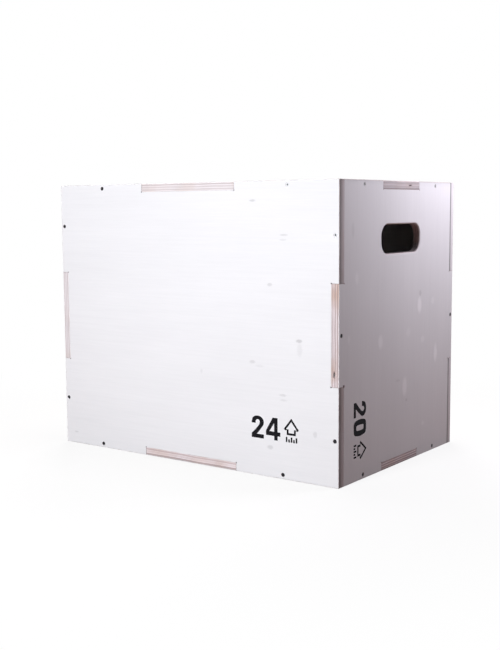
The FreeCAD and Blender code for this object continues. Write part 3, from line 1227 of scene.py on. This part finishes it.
    def through(self) -> float:
        """How long a tool is that goes right through the sheet."""
        return self.carcass.ply + 2 * self.overrun

    def relief_drill(self, x: float, y: float) -> Object:
        """Makes the drill of a corner relief.

        Args:
            x: The corner's place along X.
            y: Its place along Y.

        Returns:
            The drill.
        """
        torn = any((Vector((x, y)) - Vector(corner)).length < self.relief for corner in self.torn_corners)
        # Turned by half a side, so that no corner of the drill lies in a wall of the sheet
        return start(
            bpy.ops.mesh.primitive_cylinder_add,
            vertices=self.drill_sides,
            radius=self.torn_relief if torn else self.relief,
            depth=self.through(),
            location=(x, y, self.carcass.ply / 2),
            rotation=(0.0, 0.0, math.pi / self.drill_sides),
        )

    def seat_drill(self, seat: Vector) -> Object:
        """Makes the drill of a screw's countersunk seat and of the hole for its shank.

        Args:
            seat: The middle of the screw's head.

        Returns:
            The drill.
        """
        ply = self.carcass.ply
        shank = (self.screws.shank_diameter + self.shank_room) / 2
        sink = ply - seat.z + self.screws.head_rim
        mouth = self.screws.head_diameter / 2 + sink + self.overrun
        drop = mouth - shank
        drill = start(
            bpy.ops.mesh.primitive_cone_add,
            vertices=self.drill_sides,
            radius1=shank,
            radius2=mouth,
            depth=drop,
            location=(seat.x, seat.y, ply + self.overrun - drop / 2),
        )
        with editing(drill):
            pick(drill, "FACE", looks_down)
            down = (0.0, 0.0, -self.through())
            bpy.ops.mesh.extrude_region_move(TRANSFORM_OT_translate={"value": down})
        return drill

    def gap_cutter(self, gap: tuple[float, float, float]) -> Object:
        """Makes the cutter of a gap in the core.

        Args:
            gap: Its middle.

        Returns:
            The cutter.
        """
        segments, rings = self.void_sides
        cutter = start(
            bpy.ops.mesh.primitive_uv_sphere_add,
            segments=segments,
            ring_count=rings,
            radius=1.0,
            location=gap,
        )
        length, depth, height = self.void_size
        reach = self.outline().reach()
        in_side = reach.x - abs(gap[0]) < reach.y - abs(gap[1])
        size = (depth, length, height) if in_side else (length, depth, height)
        with editing(cutter):
            bpy.ops.transform.resize(value=size, center_override=gap)
        return cutter

    def tools(self) -> list[Object]:
        """Makes all that is cut out of the sheet: corner reliefs, screw seats and gaps in the core.

        Returns:
            The cutting tools in the flat sheet's frame.
        """
        reliefs = [self.relief_drill(x, y) for x, y in self.outline().inner_corners()]
        seats = [self.seat_drill(seat) for seat in self.seats()]
        return reliefs + seats + [self.gap_cutter(gap) for gap in self.voids]

    def finish_cuts(self, sheet: Object) -> None:
        """Finishes the cut edges that only some sheets have."""

    def build(self, finish: BirchPlywood) -> Object:
        """Makes the sheet, stands it in the box and dresses it.

        Args:
            finish: The plywood that it is sawn from.

        Returns:
            The finished sheet.
        """
        sheet = self.cut_outline()
        self.ease_edges(sheet)
        cut_with(sheet, self.tools())
        self.finish_cuts(sheet)
        shade(sheet)
        set_place(sheet, self.place())
        dress(sheet, finish.material(self))
        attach(sheet, BODY)
        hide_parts(self.node)
        LOG.info("%s: %d faces, %d seats", sheet.name, len(sheet.data.polygons), len(self.seats()))
        return sheet


@dataclass
class FacePanel(PlySheet):
    """Front or back: the full face of the box, notched in the middle of each edge."""

    def outline(self) -> Outline:
        """Full width and height, with the notches one ply deep.

        Returns:
            The outline.
        """
        box = self.carcass
        full = Vector((box.width, box.height)) / 2
        ply = Vector((box.ply, box.ply))
        return Outline(full, full - ply, Vector((box.width_tab + box.gap, box.height_tab + box.gap)))


@dataclass
class EndPanel(PlySheet):
    """Left or right end: tabs on its upright edges, notched top and bottom, with a hand hole."""

    hole_length: float = 170.0 * MM
    hole_height: float = 60.0 * MM
    hole_corner: float = 25.0 * MM
    # From the top of the box down to the middle of the hole
    hole_drop: float = 121.0 * MM
    hole_roundover: float = 4.0 * MM
    hole_corner_steps: int = 12
    hole_roundover_steps: int = 5

    def outline(self) -> Outline:
        """Between the front and back, with tabs through them, and full height with notches.

        Returns:
            The outline.
        """
        box = self.carcass
        full = Vector((box.depth, box.height)) / 2
        side, rise = Vector((box.ply, 0.0)), Vector((0.0, box.ply))
        return Outline(full - side, full - rise, Vector((box.depth_tab + box.gap, box.height_tab)))

    def hole_middle(self) -> float:
        """Height of the hand hole's middle in the sheet's own frame."""
        return self.carcass.height / 2 - self.hole_drop

    def grip(self) -> tuple[tuple[float, float], tuple[float, float]] | None:
        """The hand hole."""
        return (0.0, self.hole_middle() / MM), (self.hole_length / 2 / MM, self.hole_height / 2 / MM)

    def tools(self) -> list[Object]:
        """Adds the cutter of the hand hole to the drills.

        Returns:
            The cutting tools in the flat sheet's frame.
        """
        place = (0.0, self.hole_middle(), -self.overrun)
        cutter = start_flat(self.hole_length, self.hole_height, location=place)
        with editing(cutter):
            bpy.ops.mesh.bevel(offset=self.hole_corner, segments=self.hole_corner_steps, affect="VERTICES")
            thicken(self.through())
        return super().tools() + [cutter]

    def finish_cuts(self, sheet: Object) -> None:
        """Rounds over both rims of the hand hole.

        Args:
            sheet: The sheet, still flat, with the hole cut.
        """
        side = self.hole_length / 2 + MATCH
        rise = self.hole_height / 2 + MATCH
        faces = (0.0, self.carcass.ply)

        def is_rim(edge: bmesh.types.BMEdge) -> bool:
            """Says whether an edge lies round the hole in one of the faces.

            Args:
                edge: An edge of the sheet.

            Returns:
                True if it is part of a rim.
            """
            ends = [vertex.co for vertex in edge.verts]
            inside = all(abs(e.x) < side and abs(e.y - self.hole_middle()) < rise for e in ends)
            return inside and any(all(abs(e.z - face) < MATCH for e in ends) for face in faces)

        with editing(sheet):
            pick(sheet, "EDGE", is_rim)
            bpy.ops.mesh.bevel(
                offset=self.hole_roundover,
                segments=self.hole_roundover_steps,
                affect="EDGES",
                clamp_overlap=False,
            )


@dataclass
class DeckPanel(PlySheet):
    """Top or bottom: a tab on each of its four edges."""

    def outline(self) -> Outline:
        """Inside the other panels, with tabs through all of them.

        Returns:
            The outline.
        """
        box = self.carcass
        full = Vector((box.width, box.depth)) / 2
        ply = Vector((box.ply, box.ply))
        return Outline(full - ply, full, Vector((box.width_tab, box.depth_tab)))


@dataclass
class CentreBrace(PlySheet):
    """The brace across the middle, from front to back and from bottom to top."""

    def outline(self) -> Outline:
        """A plain sheet that fills the box.

        Returns:
            The outline.
        """
        box = self.carcass
        inside = Vector((box.depth, box.height)) / 2 - Vector((box.ply, box.ply))
        return Outline(inside, inside, inside / 2)

    def place(self) -> Matrix:
        """Half its thickness to the left of the box's middle."""
        middle = Vector((-self.carcass.ply / 2, 0.0, self.carcass.height / 2))
        return Matrix.Translation(middle) @ self.stand.turn()

    def tools(self) -> list[Object]:
        """Nothing is drilled through it."""
        return []


@dataclass
class HeightMark:
    """A printed jump height: two bold digits, an outline arrow that points up and a row of ruler ticks.

    It is laid out in its own frame, X along the digits and Y up them, in metres. The points of the digits
    are shares of their width, height and stroke.
    """

    name: str
    digits: str
    sheet: PlySheet
    corner: tuple[float, float]
    turn: float
    height: float
    digit_width: float = 31.0 * MM
    digit_pitch: float = 36.5 * MM
    stroke: float = 10.4 * MM
    arrow_left: float = 81.0 * MM
    arrow_foot: float = 15.0 * MM
    # Sizes of the arrow as shares of the digits' height
    arrow_width_share: float = 0.785
    arrow_height_share: float = 0.745
    shaft_width_share: float = 0.47
    shaft_height_share: float = 0.255
    arrow_line: float = 4.4 * MM
    ticks_left: float = 86.0 * MM
    ticks_width: float = 28.0 * MM
    tick_line: float = 3.9 * MM
    tick_height: float = 11.0 * MM
    short_tick_share: float = 0.62
    tick_corner_share: float = 0.25
    tick_count: int = 5
    tick_corner_steps: int = 3
    ink_thickness: float = 0.06 * MM

    def build(self, ink: StencilInk) -> Object:
        """Prints the mark on its sheet.

        Args:
            ink: The ink that it is printed with.

        Returns:
            The finished mark.
        """
        digits = {"2": self.two, "4": self.four, "0": self.nought}
        parts = [self.arrow()] + self.ticks()
        for i, digit in enumerate(self.digits):
            parts.append(self.filled(digits[digit](), i * self.digit_pitch))
        mark = join(parts)
        mark.name = self.name
        with editing(mark):
            thicken(self.ink_thickness)
        lift = Matrix.Translation((*self.corner, self.sheet.carcass.ply))
        set_place(mark, self.sheet.place() @ lift @ Matrix.Rotation(self.turn, 4, "Z"))
        dress(mark, ink.material(self.sheet))
        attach(mark, BODY)
        LOG.info("%s: %d faces", mark.name, len(mark.data.polygons))
        return mark

    def arrow(self) -> Object:
        """Draws the arrow from its shaft up, then takes out its inside.

        Returns:
            The arrow as a flat outline.
        """
        width, shaft_width = self.height * self.arrow_width_share, self.height * self.shaft_width_share
        shaft_height = self.height * self.shaft_height_share
        shoulder = self.arrow_foot + shaft_height
        place = (self.arrow_left + width / 2, self.arrow_foot + shaft_height / 2, 0.0)
        arrow = start_flat(shaft_width, shaft_height, location=place)
        set_place(arrow, arrow.matrix_world.copy())
        with editing(arrow):
            pick(arrow, "EDGE", lambda edge: all(abs(v.co.y - shoulder) < MATCH for v in edge.verts))
            extrude_edges(0.0, 0.0, 0.0)
            bpy.ops.transform.resize(value=(width / shaft_width, 1.0, 1.0))
            extrude_edges(0.0, self.height * self.arrow_height_share - shaft_height, 0.0)
            bpy.ops.mesh.merge(type="CENTER")
            bpy.ops.mesh.select_all(action="SELECT")
            bpy.ops.mesh.dissolve_limited(angle_limit=FLAT_ANGLE)
            pick(arrow, "FACE", lambda face: True)
            bpy.ops.mesh.inset(thickness=self.arrow_line, use_even_offset=True)
            bpy.ops.mesh.delete(type="FACE")
        return arrow

    def ticks(self) -> list[Object]:
        """Draws short ruler ticks in a row under the arrow, every other one long.

        Returns:
            The ticks as flat bars.
        """
        bars = []
        pitch = (self.ticks_width - self.tick_line) / (self.tick_count - 1)
        for i in range(self.tick_count):
            tall = self.tick_height * (self.short_tick_share if i % 2 else 1.0)
            bar = start_flat(self.tick_line, tall)
            with editing(bar):
                corner = self.tick_line * self.tick_corner_share
                bpy.ops.mesh.bevel(offset=corner, segments=self.tick_corner_steps, affect="VERTICES")
            middle = self.ticks_left + self.tick_line / 2 + i * pitch
            set_place(bar, Matrix.Translation((middle, tall / 2, 0.0)))
            bars.append(bar)
        return bars

    def two(self) -> list[list[Stretch]]:
        """Outlines a 2: its foot, the back of its bow, its lip, the inside of its bow and its heel.

        Returns:
            Its one loop.
        """
        tall, wide, bar = self.height, self.digit_width, self.stroke
        foot = 0.82 * bar
        back = [
            (0.80 * wide, 0.47 * tall), (wide, 0.71 * tall), (0.86 * wide, 0.92 * tall),
            (0.5 * wide, tall), (0.14 * wide, 0.92 * tall), (0.01 * wide, 0.74 * tall),
        ]
        inside = [
            (1.05 * bar, 0.77 * tall), (0.5 * wide, 0.84 * tall), (wide - 1.05 * bar, 0.78 * tall),
            (wide - bar, 0.70 * tall), (0.42 * wide, 0.46 * tall),
        ]
        return [[
            (Bend.CORNER, [(0.0, 0.0), (wide, 0.0), (wide, foot), (0.43 * wide, foot)]),
            (Bend.ROUND, back),
            (Bend.CORNER, [(0.0, 0.66 * tall), (bar, 0.66 * tall)]),
            (Bend.ROUND, inside),
            (Bend.CORNER, [(0.0, 0.19 * tall)]),
        ]]

    def four(self) -> list[list[Stretch]]:
        """Outlines a 4, whose stem and bar cross near its foot.

        Returns:
            Its outer loop and the loop of its eye.
        """
        tall, wide, bar = self.height, self.digit_width, self.stroke
        end = 1.16 * wide
        right = end - 0.22 * wide
        left = right - 0.82 * bar
        low = 0.19 * tall
        high = low + 0.85 * bar
        outer = [
            (left, 0.0), (right, 0.0), (right, low), (end, low), (end, high), (right, high), (right, tall),
            (left - 0.12 * wide, tall), (0.0, high + 0.02 * tall), (0.0, low), (left, low),
        ]
        eye = [(left, high), (left, 0.76 * tall), (0.27 * wide, high)]
        return [[(Bend.CORNER, loop)] for loop in (outer, eye)]

    def nought(self) -> list[list[Stretch]]:
        """Outlines a 0, which stands a little further off than the other digits.

        Returns:
            Its outer loop, and its narrow eye with tighter corners.
        """
        tall, wide, bar = self.height, self.digit_width, self.stroke
        start_x = 0.04 * wide
        middle = start_x + 0.5 * wide
        loops = []
        for low, side, bend in ((0.0, 0.0, 0.9 * bar), (0.98 * bar, bar, 0.3 * bar)):
            left, right, high = start_x + side, start_x + wide - side, tall - low
            cut = 0.29 * bend
            loops.append([(Bend.ROUND, [
                (middle, low), (right - bend, low), (right - cut, low + cut), (right, low + bend),
                (right, high - bend), (right - cut, high - cut), (right - bend, high), (middle, high),
                (left + bend, high), (left + cut, high - cut), (left, high - bend), (left, low + bend),
                (left + cut, low + cut), (left + bend, low),
            ])])
        return loops

    def filled(self, loops: list[list[Stretch]], left: float) -> Object:
        """Fills the outlines of a digit.

        Args:
            loops: The outlines, each a loop of straight and round stretches.
            left: Where the digit starts along the mark.

        Returns:
            The digit as a flat mesh.
        """
        shape = start(bpy.ops.curve.primitive_bezier_curve_add)
        shape.data.splines.clear()
        shape.data.dimensions = "2D"
        shape.data.fill_mode = "BOTH"
        for loop in loops:
            places = [(bend, x, y) for bend, stretch in loop for x, y in stretch]
            spline = shape.data.splines.new("BEZIER")
            spline.bezier_points.add(len(places) - 1)
            spline.use_cyclic_u = True
            for point, (bend, x, y) in zip(spline.bezier_points, places):
                point.co = (left + x, y, 0.0)
                point.handle_left_type = point.handle_right_type = bend.value
        take(shape)
        bpy.ops.object.convert(target="MESH")
        flat = bpy.context.object
        with editing(flat):
            bpy.ops.mesh.remove_doubles(threshold=MATCH)
            bpy.ops.mesh.dissolve_limited(angle_limit=FLAT_ANGLE)
            bpy.ops.mesh.dissolve_degenerate(threshold=MATCH)
        return flat


# Studio


@dataclass(frozen=True)
class SoftBox:
    """A soft lamp: where it stands, where it points, its size in metres, its power and its colour."""

    name: str
    place: tuple[float, float, float]
    target: tuple[float, float, float]
    size: tuple[float, float]
    power: float
    colour: str

    def build(self) -> None:
        """Hangs the lamp."""
        light = bpy.data.lights.new(self.name, "AREA")
        light.shape = "RECTANGLE"
        light.size, light.size_y = self.size
        light.energy = self.power
        light.color = to_linear(self.colour)[:3]
        lamp = bpy.data.objects.new(self.name, light)
        direction = Vector(self.target) - Vector(self.place)
        turn = direction.to_track_quat("-Z", "Y").to_matrix().to_4x4()
        lamp.matrix_world = Matrix.Translation(self.place) @ turn
        lamp.visible_camera = False
        bpy.context.scene.collection.objects.link(lamp)


LAMPS = (
    SoftBox("key_lamp", (0.14, -2.35, 0.95), (0.05, -0.25, 0.35), (0.46, 1.4), 59.0, "#F4F8FF"),
    SoftBox("end_lamp", (0.78, 0.33, 0.97), (0.38, 0.1, 0.4), (0.4, 0.4), 6.7, "#F3F0FE"),
    SoftBox("back_lamp", (-1.7, 2.2, 1.3), (0.0, 0.2, 0.3), (1.6, 1.6), 85.0, "#FFFFFF"),
    SoftBox("top_lamp", (-0.1, 0.1, 2.4), (-0.1, 0.1, 0.6), (0.8, 0.8), 20.0, "#FFFFFF"),
)


@dataclass
class Studio:
    """The white studio: paper floor, soft lamps, even ambient light and the camera."""

    paper: StudioPaper
    lamps: tuple[SoftBox, ...]
    ambient: float = 0.03
    ambient_colour: str = "#F2DCD8"
    backdrop: str = "#FFFFFF"
    floor_size: float = 60.0
    # A card of black cloth, which swallows light
    flag_cloth: str = "#050505"
    flag_size: tuple[float, float] = (1.3, 0.45)
    flag_place: tuple[float, float, float] = (0.39, 0.0, 0.845)
    # The camera: where it stands, how it is aimed, and its lens and frame in millimetres
    eye: tuple[float, float, float] = (1.4204, -1.9715, 0.5535)
    azimuth: float = math.radians(36.137)
    pitch: float = math.radians(6.42)
    roll: float = math.radians(-0.39)
    lens: float = 57.287
    film: float = 36.0

    def build(self) -> None:
        """Sets the floor, the light and the camera up."""
        self.lay_floor()
        self.hang_flag()
        for lamp in self.lamps:
            lamp.build()
        self.light_world()
        self.aim_camera()
        bpy.context.scene.view_settings.view_transform = "Standard"

    def lay_floor(self) -> None:
        """Lays the paper under the box."""
        floor = start(bpy.ops.mesh.primitive_plane_add, size=self.floor_size)
        floor.name = "studio_floor"
        dress(floor, self.paper.material())

    def hang_flag(self) -> None:
        """Hangs a black card that keeps the end lamp off the top of the box."""
        card = start_flat(*self.flag_size)
        card.name = "black_flag"
        upright = Euler((math.pi / 2, 0.0, math.pi / 2)).to_matrix().to_4x4()
        set_place(card, Matrix.Translation(self.flag_place) @ upright)
        material, add = new_material("black_flag_cloth")
        add("OutputMaterial", (add("BsdfDiffuse", {"Color": to_linear(self.flag_cloth)}),))
        dress(card, material)
        card.visible_camera = card.visible_glossy = card.visible_transmission = False

    def light_world(self) -> None:
        """Gives even ambient light, and white to the camera and to mirrors."""
        world = bpy.data.worlds.new("white_studio")
        bpy.context.scene.world = world
        world.use_nodes = True
        world.node_tree.nodes.clear()
        add = partial(add_node, world.node_tree)
        ambient = add("Background", {"Color": to_linear(self.ambient_colour), "Strength": self.ambient})
        white = add("Background", {"Color": to_linear(self.backdrop), "Strength": 1.0})
        add("OutputWorld", (add("MixShader", (seen_directly(add), ambient, white)),))

    def aim_camera(self) -> None:
        """Stands the camera where the picture was taken from."""
        camera = bpy.data.cameras.new("camera")
        camera.lens = self.lens
        camera.sensor_width = self.film
        eye = bpy.data.objects.new("camera", camera)
        ahead = Vector((
            -math.sin(self.azimuth) * math.cos(self.pitch),
            math.cos(self.azimuth) * math.cos(self.pitch),
            -math.sin(self.pitch),
        ))
        level = ahead.cross(Vector((0.0, 0.0, 1.0))).normalized()
        above = level.cross(ahead)
        right = math.cos(self.roll) * level + math.sin(self.roll) * above
        turn = Matrix((right, right.cross(ahead), -ahead)).transposed().to_4x4()
        eye.matrix_world = Matrix.Translation(self.eye) @ turn
        bpy.context.scene.collection.objects.link(eye)
        bpy.context.scene.camera = eye


# Pin knots of the front, seen as faint grey ticks, and pale flecks of the right end with dark tips
FRONT_FIGURES = (
    FaceFigure(174.0, 265.0, 21.0, 7.0, -0.34),
    FaceFigure(251.0, 196.0, 26.0, 6.0, -0.26),
    FaceFigure(249.0, 186.0, 24.0, 5.0, -0.18),
    FaceFigure(216.0, 95.0, 17.0, 10.0, -0.26),
    FaceFigure(288.0, -16.0, 20.0, 10.0, -0.40),
    FaceFigure(289.0, -34.0, 18.0, 36.0, -0.12),
    FaceFigure(172.0, -67.0, 20.0, 10.0, -0.24),
    FaceFigure(190.0, -74.0, 30.0, 8.0, -0.10),
    FaceFigure(36.0, -98.0, 8.0, 14.0, -0.14),
    FaceFigure(248.0, -130.0, 25.0, 7.0, -0.22),
    FaceFigure(250.0, -140.0, 24.0, 6.0, -0.17),
    FaceFigure(326.0, -202.0, 13.0, 18.0, -0.20),
    FaceFigure(216.0, -242.0, 20.0, 12.0, -0.28),
    FaceFigure(-349.0, -278.0, 19.0, 5.0, -0.24),
)
END_FIGURES = (
    FaceFigure(88.0, 35.0, 48.0, 26.0, 0.95),
    FaceFigure(91.0, 61.0, 18.0, 17.0, -0.22),
    FaceFigure(153.0, 40.0, 24.0, 20.0, 0.40),
    FaceFigure(-88.0, -29.0, 40.0, 27.0, 0.60),
    FaceFigure(169.0, -81.0, 56.0, 22.0, 0.95),
    FaceFigure(21.0, -138.0, 54.0, 29.0, 0.80),
    FaceFigure(-10.0, -121.0, 7.0, 30.0, -0.14),
    FaceFigure(30.0, -169.0, 10.0, 13.0, -0.20),
    FaceFigure(105.0, -43.0, 22.0, 26.0, 0.35),
    FaceFigure(36.0, -21.0, 26.0, 26.0, 0.25),
    FaceFigure(-186.0, 109.0, 34.0, 18.0, 0.35),
    FaceFigure(-217.0, -11.0, 24.0, 12.0, 0.35),
    FaceFigure(110.0, -234.0, 14.0, 18.0, 0.40),
    FaceFigure(-202.0, 205.0, 44.0, 16.0, -0.12),
)
# The veneer of the top repeats only the first knots of the front
TOP_FIGURE_COUNT = 9
# Gaps in the core: how far inside an edge they lie, the height and depth of the one in the right end's
# front tab, and where the top's lies along its right edge
GAP_INSET = 0.4 * MM
RIGHT_GAP_HEIGHT = 228.0 * MM
RIGHT_GAP_DEPTH = 7.0 * MM
TOP_GAP_PLACE = 38.0 * MM
# How strong the painted highlight is on the heads nearest the upper right corners of the box: the front's
# first two, then the right end's at its near and its far corner
FRONT_GLARE_SHARES = (0.75, 0.95)
RIGHT_GLARE_SHARES = (0.6, 0.8)
# Lower left corners of the marks: from the sheet's middle, and from the floor up
FRONT_MARK_PLACE = (169.0 * MM, 78.9 * MM)
FRONT_MARK_HEIGHT = 47.0 * MM
RIGHT_MARK_PLACE = (-196.4 * MM, 163.0 * MM)
RIGHT_MARK_HEIGHT = 49.6 * MM
TO_THE_RIGHT = (1.0, 0.0, 0.0)


def turned_figures(figures: tuple[FaceFigure, ...]) -> tuple[FaceFigure, ...]:
    """Turns figures half way round a sheet's middle, for a sheet cut from the same veneer."""
    return tuple(replace(figure, x=-figure.x, y=-figure.y) for figure in figures)


def cut_list(box: Carcass, screws: WoodScrews, heads: list[Matrix]) -> list[PlySheet]:
    """Lists the sheets of the box with the marks that use has left on each, and the shade and light painted
    on their edges.

    Args:
        box: The box's sizes.
        screws: The screws that hold it.
        heads: The places of all their heads.

    Returns:
        The sheets, in the order in which they are made.
    """
    shared = {"carcass": box, "screws": screws, "heads": heads}
    face = partial(FacePanel, grain=Grain.LEVEL, **shared)
    end = partial(EndPanel, grain=Grain.UPRIGHT, **shared)
    deck = partial(DeckPanel, grain=Grain.LEVEL, **shared)
    # The edge tones of each sheet are partly its plies' own colour and partly painted shade and light
    return [
        # Painted shade: the front's right edge is painted darker towards its outer face
        face(
            "front_panel",
            stand=Stand.FRONT,
            seed=3.0,
            figures=FRONT_FIGURES,
            edge_tones=(0.95, 0.84, 0.75, 0.64, 0.48, 0.38, 0.36),
            turned_edge=TO_THE_RIGHT,
            turned_share=0.35,
        ),
        face(
            # Painted light and shadow: the back's right edge is painted pale, its inner plies dark along
            # the joint
            "back_panel",
            stand=Stand.BACK,
            seed=23.0,
            figures=turned_figures(FRONT_FIGURES),
            edge_tones=(0.25, 0.5, 0.95, 1.0, 1.0, 1.0, 1.0),
            turned_edge=TO_THE_RIGHT,
            turned_share=0.85,
        ),
        end(
            "right_panel",
            stand=Stand.RIGHT,
            seed=11.0,
            figures=END_FIGURES,
            voids=((GAP_INSET - box.depth / 2, RIGHT_GAP_HEIGHT - box.height / 2, RIGHT_GAP_DEPTH),),
            torn_corners=((box.ply - box.depth / 2, -box.height_tab),),
            edge_tones=(0.79, 0.96, 1.02, 0.94, 1.0, 0.92, 0.92),
            stain_share=0.8,
        ),
        end(
            "left_panel",
            stand=Stand.LEFT,
            seed=31.0,
            figures=turned_figures(END_FIGURES),
            faded_share=0.4,
        ),
        deck(
            "top_panel",
            stand=Stand.TOP,
            seed=43.0,
            figures=turned_figures(FRONT_FIGURES[:TOP_FIGURE_COUNT]),
            voids=((box.width / 2 - GAP_INSET, TOP_GAP_PLACE, box.ply / 2),),
            faded_share=0.35,
            edge_tones=(0.66, 0.69, 0.92, 0.8, 0.98, 0.62, 1.36),
            turned_edge=TO_THE_RIGHT,
        ),
        deck(
            "bottom_panel",
            stand=Stand.BOTTOM,
            seed=53.0,
            edge_tones=(0.84, 1.28, 1.0, 1.24, 1.05, 1.09, 0.66),
            faded_share=0.1,
        ),
        CentreBrace("centre_brace", stand=Stand.RIGHT, grain=Grain.UPRIGHT, seed=61.0, **shared),
    ]


def main() -> None:
    """Builds the box piece by piece, then the studio round it."""
    logging.basicConfig(level=logging.INFO, format="%(name)s %(message)s")
    box = Carcass.measure()
    LOG.info("box %.1f x %.1f x %.1f mm", box.width / MM, box.depth / MM, box.height / MM)

    screws = WoodScrews()
    groups = {node: screws.places(node) for node in sorted(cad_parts) if node.endswith("_screws")}
    heads = [head for places in groups.values() for head in places]
    sheets = {sheet.node: sheet for sheet in cut_list(box, screws, heads)}
    plywood = BirchPlywood()
    for sheet in sheets.values():
        sheet.build(plywood)

    front, right = sheets["front_panel"], sheets["right_panel"]
    near, far = (Vector((box.width / 2, y, box.height)) for y in (-box.depth / 2, box.depth / 2))
    # The heads nearest the upper right corners get a painted highlight
    glare = list(zip(front.nearest_heads(near), FRONT_GLARE_SHARES))
    for corner, share in zip((near, far), RIGHT_GLARE_SHARES):
        glare.append((right.nearest_heads(corner)[0], share))
    screws.build(BlackPhosphate().material(glare), groups)

    ink = StencilInk()
    for name, digits, sheet, (x, rise), turn, height in (
        ("front_height_mark", "24", front, FRONT_MARK_PLACE, 0.0, FRONT_MARK_HEIGHT),
        ("right_height_mark", "20", right, RIGHT_MARK_PLACE, -math.pi / 2, RIGHT_MARK_HEIGHT),
    ):
        HeightMark(name, digits, sheet, (x, rise - box.height / 2), turn, height).build(ink)

    Studio(StudioPaper(), LAMPS).build()


if __name__ == "__main__":
    main()
